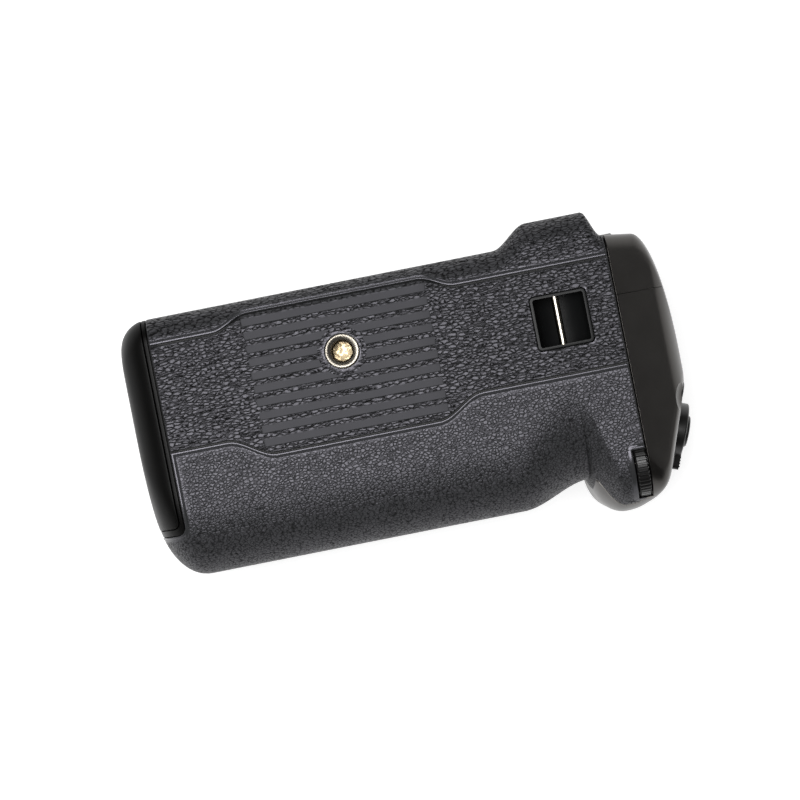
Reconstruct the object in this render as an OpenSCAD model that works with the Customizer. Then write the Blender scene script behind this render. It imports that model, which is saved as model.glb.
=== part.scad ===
// Camera battery grip that lies on its camera side, base up.
// Origin: centre of the tripod socket's mouth, on the base plane. +X runs to the control
// end, +Y to the rear (thumb side) and +Z out of the base. Sizes are in millimetres.

/* [Envelope] */
// From the socket axis to the tray end
tray_end = 56; // [54:0.1:58]
// From the socket axis to the control end
control_end = 85; // [84:0.1:88]
// From the socket axis to the rear face
rear_depth = 17.6; // [17:0.1:19]
// From the socket axis to the front of the handle
front_depth = 49.4; // [48:0.1:52]
// From the base to the camera face
height = 46; // [45.5:0.1:50]

/* [Handle form] */
// Depth of the finger scoop in the front of the handle
scoop_depth = 4.8; // [3:0.1:6]
// Where the finger scoop starts, from the socket axis
scoop_start = 38; // [34:0.5:42]
// Where the finger scoop is deepest, from the socket axis
scoop_low = 56; // [54:0.5:58]
// Reach of the nose beyond the front of the handle
nose_reach = 5; // [4:0.1:6]
// Where the nose is at its full reach, from the socket axis
nose_full = 63.7; // [61.7:0.1:65.7]
// Radius of the nose in plan
nose_r = 13.2; // [11.7:0.1:14.7]
// Roll of the base into the front of the handle, along Y
handle_roll = 20; // [16:0.5:24]
// Roll of the base into the front of the handle, along Z
handle_drop = 15; // [12:0.5:18]
// Roll of the base into the nose, along Y
nose_roll = 14; // [11:0.5:16]
// Radius of the base's rear edge
rear_roll = 4.5; // [4:0.1:6]
// Radius of the base edge at the tray end
end_roll = 9; // [8.5:0.1:10]
// Reach of the thumb rest beyond the rear face
thumb_reach = 5.4; // [3:0.1:6]
// Where the thumb rest starts and where it is full, from the socket axis
thumb_rise = [42.2, 51.8];
// Where the thumb rest ends, from the socket axis
thumb_fall = [66.1, 69.8];
// Fall of the control end's bevel
bevel_angle = 32; // [26:1:36]
// Plan corner of the tray end towards the front, along X and Y
tray_corner = [12, 18.8];
// Plan corner of the tray end towards the rear
tray_rear_corner = 8.2; // [6:0.1:8.5]
// Plan corner of the control end towards the rear, along X and Y
control_corner = [7.2, 30];
// Set-back of the control end's rear face
panel_set = 1.3; // [0:0.1:2]
// Further set-back of that face at its outer corner
panel_taper = 0.9; // [0:0.1:1.5]
// Lower edge of the skins, under the base
skin_depth = 38; // [36:0.5:39]
// Lower edge of the front skin at the nose, under the base
nose_skin = 9; // [8:0.1:11]

/* [Walls and fits] */
// Thickness of the rubber skins and of the plastic trim laid over the shell
skin_t = 1.2; // [1:0.1:1.6]
// Wall of the main shell
shell_t = 2; // [1.6:0.1:2.4]
// Wall of the control end's covers
cover_t = 2.2; // [1.8:0.1:2.6]
// Glue line under the skins
glue = 0.1; // [0.05:0.01:0.2]
// Open seam between neighbouring outer pieces
seam = 0.3; // [0.2:0.05:0.5]
// Clearance round moving pieces
play = 0.4; // [0.3:0.05:0.6]

/* [Base panel] */
// Edge of the panel towards the front, beside the middle bay
panel_front = 16.8; // [15:0.1:18]
// Edge of the panel towards the front, at the middle bay
bay_front = 22; // [20:0.1:24]
// Edge of the panel towards the rear, beside the middle bay
panel_rear = 10.5; // [9:0.1:11.5]
// Edge of the panel towards the rear, at the middle bay
bay_rear = 14; // [12.5:0.1:14]
// Half length of the middle bay where its sides start to turn in
bay_half = 21; // [19:0.1:23]
// Half length of the middle bay where its sides have turned in
bay_end = 32.8; // [30:0.1:36]
// Number of anti-slip ribs
rib_count = 10; // [8:1:10]
// Pitch of the ribs
rib_pitch = 3.43; // [3:0.01:3.5]
// Width of a rib
rib_w = 1.9; // [1.4:0.1:2.2]
// Length of a rib
rib_l = 47.2; // [40:0.1:48]
// Height of a rib
rib_h = 0.45; // [0.3:0.05:0.8]
// Middle of the ribbed field, towards the front from the socket axis
rib_mid = 3.6; // [3:0.1:4]
// Radius of the clearing in the ribs round the socket
rib_clear_r = 6.2; // [5.5:0.1:7]

/* [Tripod socket] */
// Radius of the threaded hole
socket_r = 3.175; // [3.175, 4.76]
// Outer radius of the socket
socket_body_r = 4.3; // [4.3:0.1:6]
// Depth of the socket
socket_depth = 8; // [7:0.1:8.4]
// Lead-in chamfer of the socket
socket_lead = 0.7; // [0.4:0.1:0.8]
// Size of the steel bracket that holds the socket
bracket = [34, 18, 1.5];

/* [Strap pocket] */
// Middle of the pocket, from the socket axis along X
pocket_x = 56; // [54:0.1:57]
// Middle of the pocket, from the socket axis towards the front
pocket_front = 3; // [2:0.1:4]
// Inside length of the pocket along X
pocket_l = 13; // [12.5:0.1:13.4]
// Inside width of the pocket along Y
pocket_w = 12.4; // [11.5:0.1:13]
// Wall of the pocket liner
pocket_wall = 0.8; // [0.7:0.1:1]
// Depth of the pocket at the middle of its round floor
pocket_depth = 8.5; // [8:0.1:8.5]
// Radius of the strap pin
strap_pin_r = 1; // [0.8:0.05:1.2]
// Place of the strap pin, off the middle of the pocket
strap_pin_off = -0.6; // [-1:0.1:1]
// Depth of the strap pin's axis under the base
strap_pin_depth = 2.6; // [2:0.1:3.2]

/* [Battery tray] */
// Length and width of one battery, whose thickness fills the tray
battery = [51, 38.4];
// Side walls of the tray
tray_wall = 1; // [0.8:0.1:1.4]
// Floor of the tray
tray_floor = 1.6; // [1.2:0.1:2]
// Wall between the batteries
divider_t = 1; // [0.8:0.1:1.4]
// Inner end wall of the tray
tray_back = 1.3; // [1:0.1:1.6]
// Outer end wall of the tray, which carries the latch
tray_front = 4; // [3.6:0.1:4.2]
// Freedom of a battery in its bay
bay_play = 0.3; // [0.2:0.05:0.4]
// Middle of the tray, towards the front from the socket axis
tray_mid = 12; // [11.5:0.1:12.5]
// Room over a battery in the tray
battery_room = 1.6; // [1.2:0.1:2]
// Wall of the battery sleeve
sleeve_t = 1.2; // [1:0.1:1.3]
// Depth of the sleeve's outside under the base
sleeve_depth = 9.8; // [9.7:0.05:10]
// Width of the shell's rim that shows beside the tray cap
rim_w = 1; // [0.8:0.1:1.4]
// Where the rim meets the tray cap, from the tray end
cap_seam = 7.3; // [6.8:0.1:7.8]
// Lowest edge of the tray cap, under the base
cap_depth = 40; // [38:0.1:41]
// Front edge of the tray cap, from the socket axis
cap_front = 36; // [35.5:0.1:37]
// Travel of the tray latch
latch_travel = 4; // [3:0.1:4.5]

/* [Control end] */
// Where the skins end and the control end starts, from the socket axis
skin_end = 70.45; // [70:0.05:71]
// Turn of the shutter platform from the end towards the front
platform_turn = 21; // [17:1:25]
// Place of the shutter button along X
shutter_x = 80.3; // [79.5:0.1:81]
// Place of the shutter button towards the front
shutter_front = 36.2; // [34.7:0.1:37.7]
// Place of the shutter button under the base
shutter_depth = 26; // [25.5:0.1:28]
// Radius of the shutter button
shutter_r = 4.1; // [3.6:0.1:4.4]
// Travel of the shutter button
shutter_travel = 1.2; // [0.8:0.1:1.4]
// How far the lock lever's ring stands out of the platform
lever_rise = 3.3; // [2.6:0.1:4]
// Outer radius of the lock lever's ring
lever_r = 7.2; // [6.8:0.1:7.6]
// Reach of the lock lever's tab from its axis
lever_reach = 10.3; // [9:0.1:11.5]
// Radius of the function button
fn_r = 2.9; // [2.4:0.1:3.2]
// Place of the function button along the platform from the shutter button
fn_along = 9.5; // [9:0.1:10]
// Place of the function button under the base
fn_depth = 14.5; // [14:0.1:15.5]
// Radius of the command dials
dial_r = 8.5; // [8:0.1:8.6]
// Thickness of the command dials
dial_t = 4; // [3.4:0.1:4.2]
// How far the front dial stands out of the housing
dial_proud = 1.3; // [1:0.1:1.6]
// How far the rear dial stands out of the housing
rear_dial_proud = 0.9; // [0.6:0.1:1.2]
// Number of knurls on a command dial
dial_knurls = 34; // [24:1:40]
// Radius of the dial pins
dial_pin_r = 1; // [0.8:0.1:1.2]
// Middle of the front dial, from the socket axis along X
front_dial_x = 68.4; // [68.2:0.1:68.6]
// Middle of the front dial's window, from the socket axis towards the front
front_dial_front = 46.5; // [46:0.1:47]
// Middle of the rear dial, from the socket axis along X
rear_dial_x = 72.7; // [72.5:0.1:73]
// Depth of the rear dial's axis under the base
rear_dial_depth = 26; // [25:0.1:28]

/* [Rear controls] */
// Where the rear control panel starts, from the socket axis
panel_x = 36; // [34:0.5:38]
// Upper edge of the rear control panel, under the base
panel_depth = 17.2; // [16.5:0.1:18]
// Depth of the rear buttons' middles, from the camera face
rear_button_depth = 17; // [16:0.1:18]
// Place and radius of the focus button
focus_button_at = [60, 4];
// Place and radius of the menu button
menu_button_at = [47, 3.2];
// How far the rear buttons stand out
button_proud = 1; // [0.6:0.1:1.4]
// Travel of the small buttons
button_travel = 0.5; // [0.3:0.1:0.6]
// Place of the focus stick along X, and from the camera face
stick_at = [53.5, 9];
// Radius of the focus stick's cap
stick_r = 3.4; // [3:0.1:3.6]
// Tilt of the focus stick to each side
stick_tilt = 6; // [4:1:8]

/* [Camera face] */
// Thickness of the camera plate
plate_t = 2; // [1.6:0.1:2.2]
// Radius of the screw that holds the camera
screw_r = 3.175; // [3.175, 4.76]
// Length of every piece that stands out of the camera face
stand_out = 5; // [4:0.1:6]
// How far the attachment wheel stands out of the rear face
wheel_proud = 1.5; // [1:0.1:2]
// Thickness of the attachment wheel
wheel_t = 6; // [5:0.1:6.2]
// Clearance between the wheel and the camera plate
plate_gap = 0.6; // [0.4:0.1:0.8]
// Clearance between the wheel and the battery sleeve
wheel_gap = 1.2; // [0.8:0.1:1.6]
// Number of knurls on the attachment wheel
wheel_knurls = 72; // [48:1:90]
// Middle and size of the camera connector
connector_at = [35, -29];
connector = [22, 8];
// Number of contacts in each of the connector's two rows
contact_count = 9; // [5:1:11]
// Radius of the locating pins
locator_r = 2; // [1.5:0.1:2.5]
// Places of the locating pins
locator_at = [[-36, -26], [60, 2]];

/* [Hidden] */
$fn = 48;
far = 120;
all = [-far, far];
shell_in = skin_t + glue;
cavity_in = shell_in + shell_t;
flush = 0.1;
nose_front = front_depth + nose_reach;
platform_slope = tan(90 - platform_turn);
nose_corner = shutter_x + (shutter_front - nose_front) / platform_slope;
nose_tangent = nose_r * tan((90 - platform_turn) / 2);
nose_arc = [nose_corner - nose_tangent, nose_corner + nose_tangent * sin(platform_turn)];
nose_foot = scoop_low + 0.1;
nose_rise = scoop_depth + nose_reach;
scoop_roll = handle_roll + 6;
scoop_drop = handle_drop + 5;
nose_drop = nose_roll + 2;
rim_roll = 4;
camera_roll = [12, 4];
heel_r = 3;
cap_x = cap_seam - tray_end;
panel_left = cap_x + rim_w;
shell_left = panel_left + 2.1;
end_split = 0.5;
tray_run = [-far, scoop_start];
handle_run = [-tray_end + 0.7 * tray_corner[0], nose_arc[1] + 0.1];
nose_run = [nose_foot - 3, nose_arc[1] + 0.1];
control_run = [skin_end - 3, far];
skin_run = [-far, nose_arc[1] + 0.1];
rear_run = [-tray_end + 0.45 * tray_corner[0], nose_arc[1] + 0.1];
panel_run = [-tray_end + 0.95 * tray_corner[0], nose_arc[1] + 0.1];

tray_w = battery[1] + 2 * bay_play + 2 * tray_wall;
plate_top = plate_t - height;
wheel_z = [plate_top + plate_gap, plate_top + plate_gap + wheel_t];
tray_h = -wheel_z[1] - wheel_gap - sleeve_depth - 2 * (sleeve_t + play);
battery_h = tray_h - tray_floor - battery_room;
tray_x0 = cap_x - seam + 0.05;
bay_l = battery[0] + 2 * bay_play;
bay_x = [tray_x0 + tray_front, tray_x0 + tray_front + bay_l + divider_t];
tray_x1 = bay_x[1] + bay_l + tray_back;
tray_y = [-tray_mid - tray_w / 2, -tray_mid + tray_w / 2];
tray_z = [-sleeve_depth - sleeve_t - play - tray_h, -sleeve_depth - sleeve_t - play];
tray_mid_z = (tray_z[0] + tray_z[1]) / 2;
bore_y = [tray_y[0] - play, tray_y[1] + play];
bore_z = [tray_z[0] - play, tray_z[1] + play];
sleeve_y = [bore_y[0] - sleeve_t, bore_y[1] + sleeve_t];
sleeve_z = [bore_z[0] - sleeve_t, bore_z[1] + sleeve_t];
sleeve_x = [shell_left + 0.1, tray_x1 + play + sleeve_t];
contact_y = [for (i = [-1:1]) -tray_mid + 6 * i];
latch_x = tray_x0 + tray_front / 2;
latch_slot = 3;
cap_screw_y = [-tray_mid - 14, -tray_mid + 14];
cap_screw_z = tray_mid_z - 7;

plate_x = [panel_left + 3.6, skin_end - 1.05];
wheel_r = rear_depth + wheel_proud;
wheel_half = sqrt(pow(wheel_r, 2) - pow(rear_depth - cavity_in, 2)) + 4 * play;
post_at = [[plate_x[0] + 7, sleeve_y[0] - 2.6], [nose_foot - 9.1, sleeve_y[0] - 2.6],
    [nose_foot + 5.9, 6.3 - front_depth],
    [plate_x[0] + 13, rear_depth - 5.1], [panel_x - 8, rear_depth - 5.1]];
post_r = 2.1;
bracket_screw_at = [for (x = [-1, 1], y = [-1, 1])
    [x * (bracket[0] / 2 - 4), y * (bracket[1] / 2 - 3)]];
bracket_z = -cavity_in - 0.1;

pocket_round = pocket_l / 2;
pocket_out = [pocket_l / 2 + pocket_wall, pocket_w / 2 + pocket_wall];
strap_pin_x = pocket_x + strap_pin_off;

board_y = sleeve_y[0] - 3.9;
board_x = [plate_x[0] + 15, nose_foot - 14.1];
board_z = [sleeve_z[0] - 1.8, sleeve_z[1] - 2.2];
board_screw_at = [for (x = [board_x[0] + 4, board_x[1] - 4], z = [board_z[1] - 3, board_z[0] + 4])
    [x, z]];
rear_board_y = sleeve_y[1] + 0.3;
button_floor = rear_board_y + 0.8 - rear_depth;
switch_h = 1.1;
stem_end = button_floor + switch_h + button_travel + 0.1;
flange_top = -cavity_in - 0.3;
stick_pivot = flange_top - 1;
board_post_at = [[-6, 8], [6, 8], [6, -8], [-3, -9.4]];

function ramp(t) = max(0, min(1, t));
function ease(a, b, x) = let (t = ramp((x - a) / (b - a))) t * t * (3 - 2 * t);
function rolled(t, run, fall) =
    t >= run ? 0 : fall * (1 - sqrt(1 - pow(1 - max(t, 0) / run, 2)));

// Plan line of the front face
function platform_rise(x) =
    x <= nose_arc[0] ? 0
    : x < nose_arc[1] ? nose_r - sqrt(pow(nose_r, 2) - pow(x - nose_arc[0], 2))
    : nose_front - shutter_front + (x - shutter_x) * platform_slope;
function front_base(x) =
    scoop_depth * ease(scoop_start, scoop_low, x) - front_depth + platform_rise(x);
function front_slope(x) = (front_base(x + 0.05) - front_base(x - 0.05)) / 0.1;
// Share of the nose's rise that its round flank has reached at x, set in by d
function nose_share(x, d) =
    x <= nose_foot + d ? 0 : 1 - rolled(x - nose_foot - d, nose_full - nose_foot - d, 1);
function front_line(x) = front_base(x) - nose_rise * nose_share(x, 0);

// Edges of the section at x, set in by d
function front_y(x, d) =
    front_base(x) + d * sqrt(1 + pow(front_slope(x), 2)) - nose_rise * nose_share(x, d)
    + rolled(x + tray_end - d, tray_corner[0] - d, tray_corner[1] - d);
function rear_y(x, d) =
    rear_depth - d - panel_set * ease(thumb_fall[0], thumb_fall[1], x)
    - panel_taper * ramp((x - thumb_fall[1]) / (control_end - control_corner[0] - thumb_fall[1]))
    - rolled(x + tray_end - d, tray_rear_corner - d, tray_rear_corner - d)
    - rolled(control_end - d - x, control_corner[0] - d, control_corner[1] - d);
function base_z(x, d) =
    -d - rolled(x + tray_end - d, end_roll - d, end_roll - d)
    - max(0, x - skin_end) * tan(bevel_angle) - rolled(control_end - d - x, 4, 6);
function camera_z(x, d) =
    d - height + rolled(x + tray_end - d, 2.5, 2.5) + rolled(control_end - d - x, 4, 4);
function thumb(x) =
    thumb_reach * (ease(thumb_rise[0], thumb_rise[1], x) - ease(thumb_fall[0], thumb_fall[1], x));
function along(x, handle, scoop, nose, rim) =
    handle + (scoop - handle) * ease(scoop_start, scoop_low, x)
    + (nose - scoop) * ease(scoop_low, nose_full, x)
    + (rim - nose) * ease(skin_end - 1.5, skin_end + 5, x);
function roll_y(x, d) = max(0.8, along(x, handle_roll, scoop_roll, nose_roll, rim_roll)
    + nose_rise * (nose_share(x, d) - ease(nose_foot, nose_full, x)) - d);
function roll_z(x, d) = max(0.8, along(x, handle_drop, scoop_drop, nose_drop, rim_roll) - d);
function camera_r(x, d) =
    max(0.8, camera_roll[0] + (camera_roll[1] - camera_roll[0]) * ease(scoop_start, nose_full, x) - d);

// Closed outline of the section at x, from the rear edge over the base to the front
function section(x, d) =
    let (
        front = front_y(x, d),
        rear = rear_y(x, d),
        base = base_z(x, d),
        camera = camera_z(x, d),
        roll = roll_y(x, d),
        drop = roll_z(x, d),
        under = camera_r(x, d),
        edge = max(0.8, rear_roll - d),
        heel = max(0.6, heel_r - d),
        out = thumb(x)
    )
    concat(
        [for (i = [0:4]) let (a = i * 22.5)
            [rear + out - edge + edge * cos(a), base - edge + edge * sin(a)]],
        [for (i = [0:8]) let (a = 90 + i * 11.25)
            [front + roll + roll * cos(a), base - drop + drop * sin(a)]],
        [for (i = [0:3]) let (a = 180 + i * 30)
            [front + under + under * cos(a), camera + under + under * sin(a)]],
        [for (i = [0:2]) let (a = 270 + i * 45)
            [rear - heel + heel * cos(a), camera + heel + heel * sin(a)]],
        [for (i = [0:3]) let (low = camera + heel, high = base - edge)
            [rear + out * ease(0, 3, i), low + (high - low) * (0.45 + 0.1 * i)]]
    );
function stations(d) = concat(
    [for (i = [0:6]) d - tray_end + (tray_corner[0] - d) * (1 - cos(i * 90 / 6))],
    [for (i = [0:6]) scoop_start + (nose_foot + d - scoop_start) * i / 6],
    [for (i = [1:6]) nose_foot + d + (nose_full - nose_foot - d) * (1 - cos(i * 90 / 6))],
    [for (i = [1:3]) nose_full + (skin_end - nose_full) * i / 3],
    [for (i = [1:3]) skin_end + (nose_arc[1] - skin_end) * i / 3],
    [for (i = [1:7]) nose_arc[1] + (control_end - d - nose_arc[1]) * sin(i * 90 / 7)]
);
// Height of the set-in base surface over a point of the plan
function roof(x, y, d) =
    let (t = (front_y(x, d) + roll_y(x, d) - y) / roll_y(x, d))
    base_z(x, d) - (t <= 0 ? 0 : roll_z(x, d) * (1 - sqrt(1 - t * t)));

// The grip's outer form, set in by d, over a run of X; each end is a fan round its middle
module form(d, run = all) {
    rings = [for (x = stations(d)) if (x > run[0] && x < run[1])
        [for (p = section(x, d)) [x, p[0], p[1]]]];
    n = len(rings[0]);
    count = len(rings) * n;
    last = count - n;
    middles = [for (ring = [rings[0], rings[len(rings) - 1]]) (ring[2] + ring[15]) / 2];
    sides = [for (i = [0:len(rings) - 2], j = [0:n - 1], half = [0, 1])
        let (a = i * n + j, b = i * n + (j + 1) % n)
        half == 0 ? [a, b + n, b] : [a, a + n, b + n]];
    ends = [for (j = [0:n - 1], far_end = [0, 1])
        let (k = (j + 1) % n)
        far_end == 0 ? [count, j, k] : [count + 1, last + k, last + j]];
    polyhedron(concat([for (ring = rings) each ring], middles), concat(sides, ends));
}

module block(x, y, z) {
    translate([x[0], y[0], z[0]]) cube([x[1] - x[0], y[1] - y[0], z[1] - z[0]]);
}
module upright(x, y, z, r) {
    translate([x, y, z[0]]) cylinder(h = z[1] - z[0], r = r);
}
module lengthwise(x, y, z, r) {
    translate([x[0], y, z]) rotate([0, 90, 0]) cylinder(h = x[1] - x[0], r = r);
}
module crosswise(x, y, z, r) {
    translate([x, y[0], z]) rotate([-90, 0, 0]) cylinder(h = y[1] - y[0], r = r);
}
// A plan outline as a tall prism, and a side outline as a long one
module plan(points) {
    translate([0, 0, -far]) linear_extrude(2 * far) polygon(points);
}
module profile(points) {
    translate([0, far, 0]) rotate([90, 0, 0]) linear_extrude(2 * far) polygon(points);
}

// Lines that part the base panel from the front and rear skins
function split_front(x) =
    -panel_front - (bay_front - panel_front) * (1 - ease(bay_half, bay_end, abs(x)));
function split_rear(x) =
    panel_rear + (bay_rear - panel_rear) * (1 - ease(bay_half + 1, bay_end - 1.5, abs(x)));
split_x = concat(
    [panel_left + seam / 2],
    [for (i = [0:8]) -bay_end + (bay_end - bay_half) * i / 8],
    [for (i = [0:8]) bay_half + (bay_end - bay_half) * i / 8],
    [skin_end - seam / 2]
);
front_edge = [for (x = split_x) [x, split_front(x)]];
rear_edge = [for (x = split_x) [x, split_rear(x)]];
function shift(points, dy) = [for (p = points) [p[0], p[1] + dy]];
function reverse(points) = [for (i = [len(points) - 1:-1:0]) points[i]];

// Lower edge of the front skin, which climbs over the nose
function nose_line(x) =
    let (t = ramp((x - nose_foot) / (nose_full - nose_foot)))
    -nose_skin - (skin_depth - nose_skin) * pow(1 - t, 3);
nose_edge = concat(
    [for (i = [0:7]) let (x = nose_foot + (nose_full - nose_foot) * i / 7) [x, nose_line(x)]],
    [[skin_end + seam + 1, -nose_skin]]
);

function plate_front(x) = front_line(x) + 0.75 * camera_r(x, 0);
// Outline of the camera plate's recess, wider by g
function plate_outline(g) = concat(
    [[plate_x[0] - g, plate_front(plate_x[0]) - g]],
    [for (i = [0:5]) let (x = scoop_start + (nose_foot - 0.6 - scoop_start) * i / 5)
        [x, plate_front(x) - g]],
    [[nose_foot + 0.9 - g, plate_front(nose_foot - 0.6) - g],
        [nose_foot + 6, plate_front(nose_foot + 6) - g],
        [plate_x[1] + g, plate_front(plate_x[1]) - g], [plate_x[1] + g, rear_depth - 2.6 + g], [plate_x[0] - g, rear_depth - 2.6 + g]]
);
module plate_prism(g, z) {
    translate([0, 0, z[0]]) linear_extrude(z[1] - z[0]) polygon(plate_outline(g));
}

// Where the front dial's window lies on the rolled base, and the dial's axis under it
dial_front = front_y(front_dial_x, 0) + roll_y(front_dial_x, 0);
dial_a = acos((-front_dial_front - dial_front) / roll_y(front_dial_x, 0));
dial_lean = atan2(sin(dial_a) / roll_z(front_dial_x, 0), cos(dial_a) / roll_y(front_dial_x, 0));
front_dial_y = -front_dial_front - (dial_r - dial_proud) * cos(dial_lean);
front_dial_z = base_z(front_dial_x, 0) - roll_z(front_dial_x, 0) * (1 - sin(dial_a))
    - (dial_r - dial_proud) * sin(dial_lean);
rear_dial_y = rear_depth - panel_set + rear_dial_proud - dial_r;

module front_dial_space() {
    lengthwise([front_dial_x - dial_t / 2 - play, front_dial_x + dial_t / 2 + 0.3],
        front_dial_y, front_dial_z, dial_r + play);
}
module rear_dial_space() {
    lengthwise([rear_dial_x - dial_t / 2 - play, rear_dial_x + dial_t / 2 + play],
        rear_dial_y, -rear_dial_depth, dial_r + play);
}
// Places the children on the shutter platform, with their +Z out of it
module on_platform() {
    translate([shutter_x, -shutter_front, -shutter_depth])
        rotate([0, 0, -platform_turn]) rotate([0, 90, 0]) children();
}
module on_function() {
    on_platform() translate([fn_depth - shutter_depth, fn_along, 0]) children();
}
// Places the children on the rear face, with their +Z out of it
module on_rear(x, rise) {
    translate([x, rear_depth, rise - height]) rotate([-90, 0, 0]) children();
}
module disc(z, r) {
    translate([0, 0, z[0]]) cylinder(h = z[1] - z[0], r = r);
}
module strap_space(g) {
    block([pocket_x - pocket_out[0] - g, pocket_x + pocket_out[0] + g],
        [-pocket_front - pocket_out[1] - g, -pocket_front + pocket_out[1] + g],
        [-pocket_depth - pocket_wall - g, 2]);
}
module rear_holes() {
    on_rear(focus_button_at[0], rear_button_depth) disc([-5, 8], focus_button_at[1] + play);
    on_rear(menu_button_at[0], rear_button_depth) disc([-5, 8], menu_button_at[1] + play);
    on_rear(stick_at[0], stick_at[1]) disc([-5, 8], stick_r + 0.8);
}

// Room for the attachment wheel in the rear wall
module wheel_slot() {
    block([-wheel_half, wheel_half], [rear_depth - 6, far], [wheel_z[0] - play, wheel_z[1] + play]);
}
module main_shell() {
    color("#2b2c2e") {
        difference() {
            union() {
                intersection() {
                    form(shell_in, handle_run);
                    block([shell_left, skin_end], all, all);
                }
                intersection() {
                    form(flush, handle_run);
                    union() {
                        block([shell_left, nose_foot - seam / 2], [-far, 0], [-far, -skin_depth - seam]);
                        block([shell_left, panel_x - seam / 2], [-1, far], [-far, -skin_depth - seam]);
                    }
                }
            }
            form(cavity_in, handle_run);
            plate_prism(seam / 2, [-far, plate_top]);
            plate_prism(-1.5, [-far, plate_top + 4]);
            upright(0, 0, [-5, 5], socket_body_r + 0.1);
            for (p = bracket_screw_at) upright(p[0], p[1], [-5, -1.5], 1);
            strap_space(0.1);
            front_dial_space();
            rear_dial_space();
            rear_holes();
            wheel_slot();
        }
        for (p = post_at) difference() {
            upright(p[0], p[1], [plate_top, roof(p[0], p[1], shell_in + shell_t / 2)], post_r);
            upright(p[0], p[1], [plate_top - 1, plate_top + 8], 0.95);
        }
    }
}
module base_skin() {
    color("#3a3b3e") difference() {
        union() {
            translate([0, 0, -skin_t]) linear_extrude(skin_t)
                polygon(concat(shift(front_edge, seam / 2), reverse(shift(rear_edge, -seam / 2))));
            difference() {
                for (i = [0:rib_count - 1])
                    let (y = (i - (rib_count - 1) / 2) * rib_pitch - rib_mid)
                    block([-rib_l / 2, rib_l / 2], [y - rib_w / 2, y + rib_w / 2], [-0.2, rib_h]);
                upright(0, 0, [0, 5], rib_clear_r);
            }
        }
        upright(0, 0, [-5, 5], socket_body_r + 0.15);
        strap_space(0.15);
    }
}
module front_skin() {
    color("#333437") difference() {
        intersection() {
            form(0, skin_run);
            plan(concat(
                [[-far, -far], [skin_end - seam / 2, -far]],
                reverse(shift(front_edge, -seam / 2)),
                [[panel_left + seam / 2, -cap_front - rim_w - seam], [-far, -cap_front - rim_w - seam]]
            ));
            profile(concat(
                [[-far, -skin_depth]],
                shift(nose_edge, seam / 2),
                [[skin_end + seam + 1, far], [-far, far]]
            ));
        }
        form(skin_t, skin_run);
        front_dial_space();
    }
}
module rear_skin() {
    color("#333437") difference() {
        intersection() {
            form(0, rear_run);
            plan(concat(
                shift(rear_edge, seam / 2),
                [[skin_end - seam / 2, far], [panel_left + seam / 2, far]]
            ));
            profile([[-far, -skin_depth], [panel_x - seam / 2, -skin_depth],
                [panel_x - seam / 2, seam / 2 - panel_depth], [far, seam / 2 - panel_depth],
                [far, far], [-far, far]]);
        }
        form(skin_t, rear_run);
        wheel_slot();
    }
}
module end_frame() {
    color("#1c1c1e") difference() {
        union() {
            intersection() {
                form(flush, tray_run);
                union() {
                    block([cap_x, panel_left - seam / 2], [-cap_front - rim_w, far], all);
                    block([-far, panel_left], all, [-far, -cap_depth - seam]);
                    block([-far, panel_left], [-far, -cap_front - rim_w], [-far, -skin_depth - seam]);
                    block([-far, panel_left], [-cap_front - rim_w, -cap_front - seam], all);
                }
            }
            intersection() {
                form(shell_in, tray_run);
                union() {
                    block([cap_x, shell_left - flush], all, all);
                    block([-far, panel_left], [-far, -cap_front - seam], all);
                }
            }
        }
        block([cap_x - 1, 0], bore_y, bore_z);
        block([cap_x - 1, cap_x + 0.8],
            [bore_y[0] - 1.3, bore_y[1] + 1.3], [bore_z[0] - 1.3, bore_z[1] + 1.3]);
        block([latch_x - 0.8, latch_x + 0.8], [bore_y[1] - 1, bore_y[1] + latch_travel + 0.5],
            [tray_mid_z - latch_slot / 2 - play, tray_mid_z + latch_slot / 2 + play]);
    }
}
module tray_seal() {
    color("#101011") difference() {
        block([cap_x + 0.05, cap_x + 0.75],
            [bore_y[0] - 1.25, bore_y[1] + 1.25], [bore_z[0] - 1.25, bore_z[1] + 1.25]);
        block([cap_x - 1, cap_x + 1], bore_y, bore_z);
    }
}
module control_end_cover() {
    color("#202022") difference() {
        union() {
            difference() {
                intersection() {
                    form(0, control_run);
                    block([skin_end + seam, far], [-far, end_split - seam / 2], all);
                }
                form(cover_t, control_run);
            }
            difference() {
                intersection() {
                    form(0, nose_run);
                    block([nose_foot + seam / 2, skin_end + seam + 1], [-far, -25], all);
                    profile(concat(
                        [[nose_foot, -far]],
                        shift(nose_edge, -seam / 2),
                        [[skin_end + seam + 1, -far]]
                    ));
                }
                form(skin_t, nose_run);
            }
            on_platform() for (p = board_post_at) translate(p) disc([-7.95, -1.2], 1.2);
        }
        on_platform() disc([-3, 8], lever_r + play);
        on_function() disc([-3, 8], fn_r + play);
        on_function() translate([-8, 0, 4.6]) sphere(7);
        front_dial_space();
        plate_prism(seam, [-far, plate_top + 1]);
    }
}
module rear_control_panel() {
    color("#202022") difference() {
        union() {
            difference() {
                intersection() {
                    form(0, control_run);
                    block([skin_end + seam, far], [end_split + seam / 2, far], all);
                }
                form(cover_t, control_run);
            }
            difference() {
                intersection() {
                    form(0, panel_run);
                    block([panel_x + seam / 2, skin_end + seam + 1], [8, far],
                        [-far, -panel_depth - seam / 2]);
                }
                form(skin_t, panel_run);
            }
        }
        rear_holes();
        rear_dial_space();
        plate_prism(seam, [-far, plate_top + 1]);
    }
}
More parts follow.
